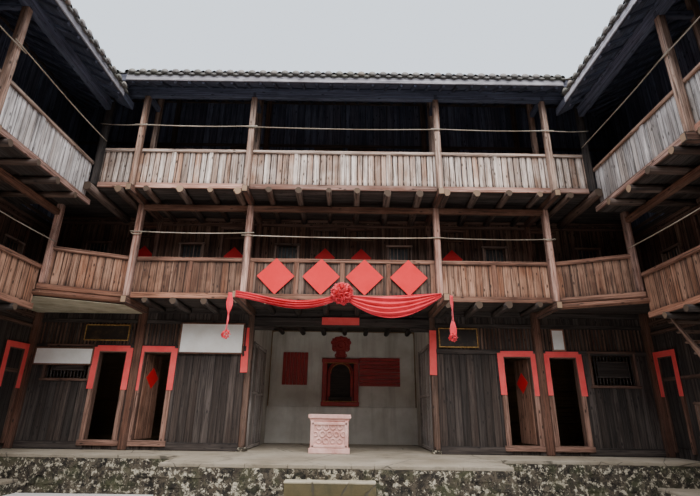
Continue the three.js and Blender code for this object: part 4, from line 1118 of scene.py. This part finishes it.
def makePaper():
    for span in hallGround["openDoors"] + hallGround["leafDoors"]:
        pasteDoor(flat, *span, 7.634, 2.90)
    for x, lean in ((-2.37, -1.5), (2.26, 1.5)):
        paste(couplets, flat, x, 7.686, 3.0, 0.17, 1.08, lean)
    paste(couplets, flat, -0.03, 7.684, 3.735, 0.94, 0.19)
    for x in (-1.56, -0.49, 0.53, 1.57):
        pasteDiamond(flat, x, 6.570, 4.575, 0.44)
    for name, doors in (("hall", (-5.28, -2.89, -0.48, 0.48, 2.89)), ("left", (3.35, 5.0)), ("right", (-3.35, 0.6))):
        for x in doors:
            pasteDiamond(wings[name]["place"], x, 7.712, house["second"] + 1.28, 0.27)
    ground = house["ground"]
    for name, x, half, y, top in (
            ("left", 5.0, 0.33, 7.655, ground + 2.05), ("right", -5.0, 0.33, 7.655, ground + 2.05),
            ("left", -0.6, 0.33, 7.655, ground + 2.05), ("right", 0.6, 0.33, 7.655, ground + 2.05),
            ("left", 7.22, 0.25, 7.625, 2.90), ("right", -7.22, 0.25, 7.625, 2.90),
            ("gate", -5.28, 0.33, 7.655, ground + 2.20), ("gate", 2.89, 0.33, 7.655, ground + 2.20)):
        pasteDoor(wings[name]["place"], x - half, x + half, y, top)
    buildAll(paper, couplets)


leafDoor = {"left": (-4.775, 7.78, -1), "right": (4.595, 7.78, 1), "wide": 0.63, "open": 78}


def makeLeaf(name):
    x, y, side = leafDoor[name]
    place, body = lying(x, y, 0.90, -side * leafDoor["open"]), name + "_door"
    planks = Stack(name + "DoorPlanks", "rail", 81 + side, place, body)
    sheet = Stack(name + "DoorPaper", "paper", 91 + side, place, body)
    edges = [side * (0.02 - leafDoor["wide"] * i / 3) for i in range(4)]
    for a, b in zip(edges, edges[1:]):
        planks.put(board, upright((a + b) / 2, -0.003, 1.0), (1.95, 0.028, abs(b - a) - 0.003), 0.5)
    middle = (edges[0] + edges[-1]) / 2
    for z in (0.36, 1.02, 1.66):
        planks.put(board, lying(middle, 0.0165, z), (0.56, 0.012, 0.085), 0.5)
    planks.put(pole, upright(0, 0, 1.0), (1.996, 0.0275, 0.0275), 0.3)
    sheet.put(sheetOf, moved(middle, -0.0195, 1.42) @ turned(45, "Y"), (0.36, 0.003, 0.36))
    planks.build(name + "_door_leaf")
    sheet.build()


hallInside = {
    "half": 2.27, "back": 10.95, "joistStep": 0.66, "joist": 0.15, "ledge": 1.74, "shrine": (-0.62, 0.50, 1.76, 3.16),
    "leftPanel": (-1.86, -1.08, 2.36, 3.34), "rightPanel": (0.52, 1.78, 2.34, 3.20), "niche": (0.31, 2.06, 2.74),
    "crest": (  # x, z and width of each scroll over the shrine
        (0, 0.16, 0.26), (0, 0.42, 0.30), (-0.19, 0.30, 0.17), (0.19, 0.30, 0.17), (-0.25, 0.50, 0.15),
        (0.25, 0.50, 0.15), (-0.14, 0.60, 0.16), (0.14, 0.60, 0.16), (-0.13, 0.10, 0.13), (0.13, 0.10, 0.13),
        (0, 0.64, 0.14)),
}


def makeHallInside():
    half, back, low, ledge = hallInside["half"], hallInside["back"], hallGround["low"], hallInside["ledge"]
    plaster, logs, panels, walls = stacksOf(
        "hall", 101, backPlaster="plaster", ceilingJoists="dark", redPanels="lacquer", sidePanels="bleached")
    plaster.put(plasterSheet, moved(0, back - 0.02, 2.36), (2 * half + 0.02, 1.0, 3.34))
    plaster.put(slab, lying(0, back - 0.04, (low + ledge) / 2), (2 * half + 0.02, 0.07, ledge - low))
    for i in range(-3, 4):
        thick = hallInside["joist"] * logs.rand.uniform(0.88, 1.1)
        place = lying(i * hallInside["joistStep"] + 0.05, (7.90 + back) / 2, hallGround["top"] - thick / 2, 90)
        logs.put(log, place, (back - 7.94, thick, thick))
    x0, x1, z0, z1 = hallInside["leftPanel"]
    wide = (x1 - x0) / 7
    for i in range(7):
        stand(panels, board, x0 + (i + 0.5) * wide, back - 0.05, z0, z1, (0.022, wide - 0.008))
    x0, x1, z0, z1 = hallInside["rightPanel"]
    wide = (z1 - z0) / 8
    for i in range(8):
        level(panels, board, x0, x1, back - 0.05, z0 + (i + 0.5) * wide, (0.022, wide - 0.010))
    for side in sides:
        x = side * (half - 0.015)
        for i in range(8):
            walls.put(board, upright(x, 8.38 + i * 0.20, 1.98, 90), (2.36, 0.022, 0.19))
        for y in (8.24, 9.92):
            walls.put(board, upright(x - side * 0.006, y, 2.0, 90), (2.56, 0.045, 0.09), 0.6)
        for z in (0.76, 2.02, 3.22):
            walls.put(board, lying(x - side * 0.006, 9.08, z, 90), (1.60, 0.045, 0.09), 0.6)
    buildAll(plaster, logs, panels, walls)


def makeShrine():
    x0, x1, z0, z1 = hallInside["shrine"]
    radius, low, spring = hallInside["niche"]
    back, middle = hallInside["back"], (x0 + x1) / 2
    y = back - 0.075
    parts, gilt, dark, crest = stacksOf("shrine", 111, frame="lacquer", gilding="gilt", niche="dark", crest="lacquer")
    level(dark, board, x0 + 0.08, x1 - 0.08, y + 0.05, (z0 + z1) / 2, (0.02, z1 - z0 - 0.16), 0.1)
    for x in (x0 + 0.075, x1 - 0.075):
        stand(parts, sturdy, x, y - 0.005, z0, z1, (0.12, 0.15))
    for z in (z0 + 0.06, z1 - 0.065):
        level(parts, sturdy, x0 - 0.02, x1 + 0.02, y - 0.012, z, (0.12, 0.13))
    for side in sides:
        place = upright(middle + side * (radius + 0.04), y + 0.01, (low + spring) / 2 - 0.1)
        parts.put(board, place, (spring - low + 0.3, 0.06, 0.08))
    radius, steps = radius + 0.02, 11
    for i in range(steps):  # the niche's arch
        angle = math.pi * (i + 0.5) / steps
        place = moved(middle + math.cos(angle) * radius, y + 0.01, spring + math.sin(angle) * radius * 0.9)
        place = place @ Matrix.Rotation(math.pi / 2 - angle, 4, "Y")
        parts.put(board, place, (0.145, 0.06, 0.10))
        gilt.put(board, place @ moved(0, -0.034, -0.032), (0.10, 0.012, 0.014))
    for z in (z0 + 0.135, z1 - 0.14):
        level(gilt, board, x0 + 0.05, x1 - 0.05, y - 0.066, z, (0.012, 0.016))
    dark.put(slab, lying(middle, y, low - 0.10), (0.70, 0.10, 0.14), 0.4)
    for x, z, wide in hallInside["crest"]:
        crest.put(ring, moved(middle + x, back - 0.052, z1 + z), (wide, 0.03, wide))
    for z, size in ((0.35, (0.66, 0.012, 0.30)), (0.45, (0.36, 0.011, 0.56))):
        crest.put(board, upright(middle, back - 0.045, z1 + z), size)
    parts.build("shrine")
    buildAll(gilt, dark, crest)


altar = {"box": (-0.72, 0.26, 7.40, 7.85, 0.70, 1.53), "scrollRows": ((0.0, 4), (0.145, 5), (0.29, 4)), "scroll": 0.158}


def makeAltar():
    x0, x1, y0, y1, z0, z1 = altar["box"]
    x, y, z = (x0 + x1) / 2, (y0 + y1) / 2, (z0 + z1) / 2 - 0.03
    wide, deep, face = x1 - x0, y1 - y0, y0 + 0.045
    stone = Stack("altarStone", "carved", 121)
    for at, lessWide, lessDeep, high in (
            (z1 - 0.045, 0, 0, 0.09), (z1 - 0.115, 0.07, 0.06, 0.055), (z, 0.14, 0.10, z1 - z0 - 0.20),
            (z0 + 0.055, 0.05, 0.03, 0.11)):
        stone.put(slab, lying(x, y, at), (wide - lessWide, deep - lessDeep, high))
    for side in (x0 + 0.10, x1 - 0.10):
        stone.put(slab, upright(side, face, z), (z1 - z0 - 0.22, 0.05, 0.085))
    for at in (z1 - 0.20, z0 + 0.15):
        stone.put(slab, lying(x, face, at), (wide - 0.16, 0.05, 0.06))
    for row, count in altar["scrollRows"]:
        for i in range(count):
            size = stone.rand.uniform(0.125, 0.17)
            place = moved(x + (i - (count - 1) / 2) * altar["scroll"], face - 0.004, z0 + 0.265 + row)
            stone.put(ring, place, (size, 0.045, size))
    stone.build("stone_altar")


def makePortal():
    posts, bases, lintel = stacksOf("", 131, hallPortalTimbers="joist", portalPostBases="stone", hallLintel="dark")
    lintel.put(sturdy, lying(0, 7.76, 3.715), (4.40, 0.14, 0.23), 0.3)
    for i in range(4):
        lintel.put(board, lying(-1.65 + i * 1.1, 7.755, 3.925), (1.094, 0.035, 0.19), 0.2)
    for side in sides:
        lintel.put(board, lying(side * 1.95, 7.74, 3.545), (0.50, 0.09, 0.09), 0.5)
        stand(posts, sturdy, side * hallInside["half"], 7.78, 0.78, hallGround["top"], (0.155, 0.15), 0.85)
        bases.put(slab, lying(side * hallInside["half"], 7.78, 0.74), (0.24, 0.24, 0.085))
    lintel.build()
    posts.build("hall_portal")
    bases.build()


makeHallFront()
makePaper()
for name in ("left", "right"):
    makeLeaf(name)
makePortal()
makeHallInside()
makeShrine()
makeAltar()
print("stage: hall ground floor")

# Cloth festoon: two gathered lobes, tied tails and rosettes

festoon = {
    "y": 5.76, "thick": 0.003, "lobeGrid": (44, 56), "tailGrid": (10, 40),
    "lobes": {  # the run of the edges at both ends and where the lobe hangs lowest
        "left": {
            "x": (-2.26, -0.16), "upper": (4.02, 3.81, 3.94), "lower": (3.87, 3.655, 3.79), "deepest": 0.62,
            "folds": 3, "run": 2.30},
        "right": {
            "x": (0.18, 2.16), "upper": (3.95, 3.93, 4.02), "lower": (3.80, 3.48, 3.94), "deepest": 0.48,
            "folds": 4, "run": 2.40},
    },
    "tail": {"x": 2.36, "z": (3.96, 3.13), "run": 0.86},
    "rosettes": (
        ("festoonRosette", (0.02, 5.75, 3.97), 0.26, 90), ("leftTailRosette", (-2.37, 5.76, 3.07), 0.105, 26),
        ("rightTailRosette", (2.35, 5.76, 3.07), 0.105, 26)),
}


def clothPiece(name, size, pointAt):
    across, along = size
    grid = [pointAt(i / along, j) for i in range(along + 1) for j in range(across + 1)]
    starts = [i * (across + 1) + j for i in range(along) for j in range(across)]
    mesh = bpy.data.meshes.new(name)
    mesh.from_pydata(grid, [], [(a, a + 1, a + across + 2, a + across + 1) for a in starts])
    piece = bpy.data.objects.new(name, mesh)
    bpy.context.scene.collection.objects.link(piece)
    bpy.ops.object.select_all(action="DESELECT")
    piece.select_set(True)
    bpy.context.view_layer.objects.active = piece
    bpy.ops.object.shade_smooth()
    thicken(piece, festoon["thick"])
    return seat(piece, "cloth")


def makeLobe(side):
    facts = festoon["lobes"][side]
    (x0, x1), deepest = facts["x"], facts["deepest"]
    rand = random.Random(7)
    phases = [rand.uniform(0, 6.28) for _ in range(4)]

    def edgeAt(edge, s, arch):
        start, middle, end = facts[edge]
        return start + (end - start) * s + (middle - (start + end) / 2) * arch

    def pointAt(s, j):
        v = j / festoon["lobeGrid"][0]
        arch = math.sin(math.pi * s ** (math.log(0.5) / math.log(deepest))) ** 0.9 if 0 < s < 1 else 0.0
        high, low = (edgeAt(edge, s, arch) for edge in ("upper", "lower"))
        bend = v ** 0.9 + 0.05 * math.sin(3.1 * s + phases[0] + 4 * v) * arch
        turn = bend * facts["folds"] * math.pi
        fold = abs(math.sin(turn)) ** 0.75  # puffed bands with sharp creases between them
        fine = math.sin(bend * 13 * math.pi + phases[2] - 3 * s) + 0.6 * math.sin(bend * 27 * math.pi + 5 * s)
        depth = 0.020 + 0.050 * arch
        y = festoon["y"] + 0.02 - depth * fold - 0.006 * fine - 0.02 * arch * math.sin(math.pi * v)
        z = high + (low - high) * v - 0.016 * math.sin(2 * turn) * arch
        return (x0 + (x1 - x0) * s + 0.012 * math.sin(9 * v + phases[3]) * arch, y, z)

    return clothPiece(side + "FestoonLobe", festoon["lobeGrid"], pointAt)


def makeTail(name, side):
    (top, low), across = festoon["tail"]["z"], festoon["tailGrid"][0]

    def pointAt(s, j):
        wide = 0.085 + 0.06 * math.sin(math.pi * s * 1.7) ** 2 - 0.07 * max(0, 1 - abs(s - 0.58) / 0.14)
        twist, v, pleat = 0.5 + 2.4 * s * side, (j / across - 0.5) * wide, 0.012 * math.sin(j * 2.1)
        x = side * festoon["tail"]["x"] + v * math.cos(twist) - pleat * math.sin(twist)
        return (x, festoon["y"] - 0.005 + v * math.sin(twist) * 0.7 + pleat, top + (low - top) * s)

    return clothPiece(name + "FestoonTail", festoon["tailGrid"], pointAt)


def makeRosette(name, centre, radius, count):
    stack = Stack(name, "cloth", 141)
    golden = math.pi * (3 - math.sqrt(5))
    for i in range(count):
        spread, angle = 1.5 * math.sqrt((i + 0.5) / count), i * golden
        normal = (math.sin(spread) * math.cos(angle), -math.cos(spread), math.sin(spread) * math.sin(angle))
        normal = Vector(normal)
        place = moved(*(Vector(centre) + Vector((normal.x, normal.y * 0.42, normal.z)) * radius * 0.66))
        turn = normal.to_track_quat("Z", "Y").to_matrix().to_4x4()
        turn = turn @ Matrix.Rotation(stack.rand.uniform(0, 6.28), 4, "Z")
        lean = Matrix.Rotation(stack.rand.uniform(0.5, 1.1), 4, "X")
        size = radius * stack.rand.uniform(0.42, 0.58)
        stack.put(petal, place @ turn @ lean, (size, size * 0.9, size * 0.8))
    return stack.build()


def layOut(piece, rosettes):  # does nothing to the piece: it only puts the rosettes in a list
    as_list(rosettes)


def makeFestoon():
    rosettes = [makeRosette(*facts) for facts in festoon["rosettes"]]
    lobes = {side: makeLobe(side) for side in festoon["lobes"]}
    for side, piece in lobes.items():
        layOut(piece, rosettes[:1] if side == "left" else [])
    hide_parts("cloth_festoon")
    for name, side, rosette in zip(lobes, sides, rosettes[1:]):
        layOut(makeTail(name, side), [rosette])


makeFestoon()
print("stage: festoon")

# Stone: rubble on the plinth's front, under the outer walls, steps and gateway

rubble = {"deep": 0.13, "course": 0.17, "wide": (0.14, 0.36), "proud": 0.007, "capDeep": 0.34, "capWide": (1.1, 1.9)}
plinthRuns = (
    ((-3.10, 5.03), (-0.86, 5.03)), ((0.66, 5.03), (3.10, 5.03)), ((3.10, 5.03), (3.10, 6.40)),
    ((-3.10, 6.40), (-3.10, 5.03)), ((-7.68, 6.40), (-3.10, 6.40)), ((3.10, 6.40), (7.68, 6.40)),
)
gateway = {"blocks": (0.55, 0.80, 0.60, 0.75, 0.25), "y": 12.14, "middle": 1.12, "tablet": 4.06}
outerWindows = {"x": (-8, -4, 0, 4, 8), "z": 7.62, "y": 12.12, "bars": 5}


def cutUp(rand, length, widths, rest):  # random lengths along a run: the middle and length of each
    x = 0.0
    while x < length - 0.02:
        wide = min(rand.uniform(*widths), length - x)
        if length - x - wide < rest:
            wide = length - x
        yield x + wide / 2, wide
        x += wide


def rubbleRun(stack, start, end, low, high, course=rubble["course"], cap=0.0):
    run, rand, deep = Vector(end) - Vector(start), stack.rand, rubble["deep"]
    origin = lying(*start, low, bearing(run))
    rows = max(1, round((high - cap - low) / course))
    tall = (high - cap - low) / rows
    for row in range(rows):
        for x, wide in cutUp(rand, run.length, rubble["wide"], 0.12):
            place = origin @ moved(x, deep / 2 - 0.05 + rand.uniform(-0.012, 0.012), (row + 0.5) * tall)
            size = (wide * 0.99, deep * rand.uniform(0.85, 1.1), tall * rand.uniform(0.95, 1.08))
            stack.put(rand.choice(stones), place, size)


def capRun(stack, start, end, high, thick):  # the worn cement edge over the rubble
    run, deep = Vector(end) - Vector(start), rubble["capDeep"]
    origin = lying(*start, high + rubble["proud"] - thick / 2, bearing(run))
    for x, wide in cutUp(stack.rand, run.length, rubble["capWide"], 0.3):
        stack.put(slab, origin @ moved(x, deep / 2 - 0.04, 0), (wide - 0.004, deep, thick), 0.2)


def makeOuterWindows(holes):
    y, z, bars = outerWindows["y"], outerWindows["z"], outerWindows["bars"]
    for x in outerWindows["x"]:
        for up in (-0.35, 0.35):
            holes.put(board, lying(x, y, z + up), (0.66, 0.11, 0.07))
        for side in sides:
            holes.put(board, upright(x + side * 0.285, y, z), (0.72, 0.10, 0.06))
        for i in range(bars):
            holes.put(pole, upright(x - 0.26 + 0.104 * (i + 0.5), y - 0.04, z), (0.66, 0.03, 0.03))


def makeStones():
    court, footing, gate, tablet, holes, edge, treads, risers = stacksOf(
        "", 151, plinthStones="stone", footingStones="stone", gatewayStones="stone", gatewayTablet="plaster",
        outerWindowFrames="post", plinthEdges="cement", stepTreads="tread", stepRisers="riser")
    plinth, ground = house["plinth"], house["ground"]
    for a, b in plinthRuns:
        rubbleRun(court, a, b, 0.0, plinth, cap=0.06)
        if a[0] == b[0]:  # the short returns stop clear of the slabs they meet
            a, b = ((x, max(min(y, 6.355), 5.335)) for x, y in (a, b))
        capRun(edge, a, b, plinth, 0.07)
    rubbleRun(court, (-0.86, 5.03), (0.66, 5.03), 0.475, plinth, cap=0.06)
    capRun(edge, (-0.86, 5.03), (0.66, 5.03), plinth, 0.07)
    for name in ("left", "right", "gate"):
        court.place = edge.place = wings[name]["place"]
        rubbleRun(court, (-6.38, 6.40), (6.38, 6.40), 0.0, ground, course=0.2, cap=0.05)
        capRun(edge, (-6.38, 6.40), (6.38, 6.40), ground, 0.06)
    for i in (1, 2):
        y, z = 5.18 - 0.28 * (3 - i), 0.2333 * i
        treads.put(slab, lying(-0.10, y, z - 0.010), (1.56, 0.35, 0.035), 0.15)
        risers.put(slab, lying(-0.10, y, z - 0.125), (1.545, 0.335, 0.205), 0.6)
    wall = house["wallOut"]
    for name, wing in wings.items():
        footing.place, holes.place = turned(wing["turn"]) @ turned(180), turned(wing["turn"])
        for a, b in ((-wall, -1.22), (1.22, wall)) if name == "gate" else ((-wall, wall),):
            rubbleRun(footing, (a, -wall), (b, -wall), 0.0, 0.96, course=0.30)
        makeOuterWindows(holes)
    gate.place = tablet.place = wings["gate"]["place"]
    y, blocks = gateway["y"], gateway["blocks"]
    for side in sides:
        for i, high in enumerate(blocks):
            z = ground + sum(blocks[:i]) + high / 2
            gate.put(slab, lying(side * gateway["middle"], y, z), (0.26, 0.14, high - 0.008), 0.2)
    gate.put(slab, lying(0, y, 3.38), (2.56, 0.15, 0.38), 0.2)
    gate.put(slab, lying(0, y, 0.12), (2.56, 0.20, 0.235), 0.2)
    tablet.put(slab, lying(0, y + 0.015, gateway["tablet"]), (2.10, 0.05, 0.62))
    tablet.put(slab, lying(0, y + 0.035, gateway["tablet"]), (1.86, 0.05, 0.44))
    buildAll(court, edge, treads, risers, footing, gate, tablet, holes)


makeStones()
print("stage: stone")

# Roofs: rafters under the eaves, fascias, courses of half-round tiles, ridges and hips

roofs = {"spacing": 0.262, "course": 0.25, "coverWide": 0.15, "lap": 1.18, "rafter": 0.34, "fascia": 0.15}
pitch = math.atan(house["slope"])


def courses(stack, x, low, high, inner):  # a column of cover tiles and the trough beside it
    run, length = roofs["course"] * math.cos(pitch), roofs["course"] * roofs["lap"]
    for i in range(max(1, math.ceil((high - low) / run - 0.25))):
        y = low + (i + 0.5) * run if inner else high - (i + 0.5) * run
        z = house["top"] + house["slope"] * (y - house["eaveIn"] if inner else house["eaveOut"] - y)
        place = lying(x, y, z, 0 if inner else 180) @ Matrix.Rotation(pitch, 4, "X")
        shift = moved(stack.rand.uniform(-0.004, 0.004), 0, 0.022)
        stack.put(cover, place @ shift, (roofs["coverWide"], length, 0.125))
        stack.put(pan, place @ moved(roofs["spacing"] / 2, 0, 0.006), (roofs["spacing"] * 0.66, length, 0.055))


def tileSpans(name, x):  # what a column covers in plan, on the court side and on the outer side
    ridge, step, inEdge, outEdge = (house[key] for key in ("ridge", "step", "eaveIn", "eaveOut"))
    away, across = abs(x), inEdge + outEdge - abs(x)
    inner, outer = (max(inEdge, away), ridge), (max(ridge, away), outEdge)
    if name == "hall":
        if away < ridge:
            inner = (max(inEdge, away - step), ridge)
        else:
            inner = (across - step if away < outEdge - step else inEdge, across)
    elif hallEnd.get(name, 0) * x > inEdge:
        inner, outer = (away + step, ridge), (ridge, across - step)
    return inner, outer


def eaveLine(fascia, tiles, x0, x1, inner):  # boarded fascia with the rounded ends of the tiles above it
    out = -1 if inner else 1
    y, top, deep = house["eaveIn" if inner else "eaveOut"] + out * 0.014, house["top"], roofs["fascia"]
    level(fascia, board, x0, x1, y, house["under"] + deep / 2 + 0.006, (0.028, deep))
    level(tiles, board, x0 + 0.01, x1 - 0.01, y + out * 0.005, top - 0.003, (0.03, 0.10), 0.0)
    count = round((x1 - x0) / roofs["spacing"])
    wide = (x1 - x0) / count
    for i in range(count):
        x = x0 + (i + 0.5) * wide
        tiles.put(cap, lying(x, y + out * 0.02, top + 0.012, 90), (0.10, roofs["coverWide"] * 1.22, 0.165))
        place = lying(x + wide / 2, y + out * 0.02, top - 0.028, 90) @ turned(180, "X")
        tiles.put(cap, place, (0.08, roofs["spacing"] * 0.55, 0.07), 0.0)


def layRafter(rafters, x, y0, y1, inner):
    y = (y0 + y1) / 2
    z = roofUnder(y) if inner else house["under"] + house["slope"] * (house["eaveOut"] - y)
    place = lying(x, y, z - 0.028, 90) @ Matrix.Rotation(-pitch if inner else pitch, 4, "Y")
    rafters.put(board, place, ((y1 - y0) / math.cos(pitch), 0.07, 0.06))


def makeRoof(name, wing):
    innerTiles, outerTiles, ends, fascia, rafters = stacksOf(
        name, seedOf(name) + 7, wing["place"], innerTiles="tile", outerTiles="tile", eaveTiles="eaveTile",
        fascia="fascia", rafters="shadowBlue")
    ridge, inEdge, outEdge, front = (house[key] for key in ("ridge", "eaveIn", "eaveOut", "front"))
    sign, spacing = hallEnd.get(name, 0), roofs["spacing"]
    count = int(outEdge / spacing)
    for i in range(-count, count + 1):
        x = i * spacing
        for tiles, (low, high) in zip((innerTiles, outerTiles), tileSpans(name, x)):
            if high - low > 0.1:
                courses(tiles, x, low, high, tiles is innerTiles)
    if name == "hall":  # the hipped ends, drawn with y outwards along each end
        rows = int((outEdge - inEdge) / 2 / spacing)
        for side in sides:
            outerTiles.place = wing["place"] @ turned(-side * 90)
            for off in (i * spacing for i in range(-rows, rows + 1)):
                courses(outerTiles, -side * (ridge + off), ridge + abs(off), outEdge, False)
    eaveLine(fascia, ends, -inEdge, inEdge, True)
    a, b = {0: (-outEdge, outEdge), 1: (-outEdge, inEdge), -1: (-inEdge, outEdge)}[sign]
    eaveLine(fascia, ends, a, b, False)
    for x in (i * roofs["rafter"] for i in range(-24, 25)):
        start = max(inEdge + 0.03, abs(x))
        if start < front - 0.1:
            layRafter(rafters, x, start, front, True)
    for x in (i * roofs["rafter"] for i in range(-39, 40)):
        start, end = max(house["wallOut"], abs(x)), outEdge - 0.03
        if end - start > 0.1 and x * sign <= inEdge:
            layRafter(rafters, x, start, end, False)
    buildAll(outerTiles, ends, fascia, rafters)
    innerTiles.build(f"{name}_wing_roof_tiles")


ridges = {"wide": 0.26, "cap": 0.20, "length": 0.30}


def ridgeLine(stack, start, end):
    start, run = Vector(start), Vector(end) - Vector(start)
    turn = run.to_track_quat("X", "Z").to_matrix().to_4x4()
    count = max(1, round(run.length / ridges["length"]))
    length = run.length / count
    for i in range(count):
        place = moved(*(start + run * ((i + 0.5) / count))) @ turn
        stack.put(slab, place @ moved(0, 0, 0.04), (length + 0.004, ridges["wide"], 0.13))
        stack.put(cap, place @ moved(0, 0, 0.115), (length - 0.008, ridges["cap"], 0.19))


def makeRidges():
    stack = Stack("ridgeTiles", "tile", 31)
    ridge, out, low = house["ridge"], house["eaveOut"], house["top"]
    top = low + house["slope"] * (ridge - house["eaveIn"])
    for name, wing in wings.items():
        stack.place, sign = wing["place"], hallEnd.get(name, 0)
        if sign:  # ends against the raised hall wing
            ridgeLine(stack, (-sign * ridge, ridge, top), (sign * (ridge - house["step"]), ridge, top))
            continue
        ridgeLine(stack, (-ridge, ridge, top), (ridge, ridge, top))
        for side in sides:
            for foot in (out, house["eaveIn"]) if name == "hall" else (out,):
                ridgeLine(stack, (side * ridge, ridge, top), (side * out, foot, low))
    stack.build()


for name, wing in wings.items():
    makeRoof(name, wing)
makeRidges()
print("stage: roofs")

# Finishes of the frame's own nodes: by the end of the name, else boards that follow the wing

nodeFinishes = {
    "earth_wall": "earth", "plinth": "cement", "paved_floor": "cement", "roof_tiles": "tile", "stone_altar": "carved",
    "shrine": "lacquer", "left_wall": "plaster", "right_wall": "plaster", "cloth_festoon": "paper",
}
boardedNodes = {"_roof": "roof", "_floor": "soffit", "": "front"}


def dressNodes():
    for name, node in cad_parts.items():
        along = "Y" if name.startswith(("left_wing", "right_wing")) else "X"
        fitting = [finishes[key] for ending, key in nodeFinishes.items() if name.endswith(ending)]
        fitting += [boardFinishes[part + along] for ending, part in boardedNodes.items() if name.endswith(ending)]
        node.data.materials.clear()
        node.data.materials.append(fitting[0])


dressNodes()

# Floor under the house

ground = {"half": 70, "low": -0.002}


def makeGround():
    meshOps.primitive_plane_add(size=2 * ground["half"], location=(0, 0, ground["low"]))
    floor = bpy.context.object
    floor.name = "studioFloor"
    speckled = layered("paleFloor", ((3, 3),), (0, 0.3, 0.7, (0.60, 0.59, 0.57), (0.64, 0.63, 0.61)), (), 0.9)
    floor.data.materials.append(speckled)


makeGround()
bpy.context.view_layer.update()
print("stage: done")
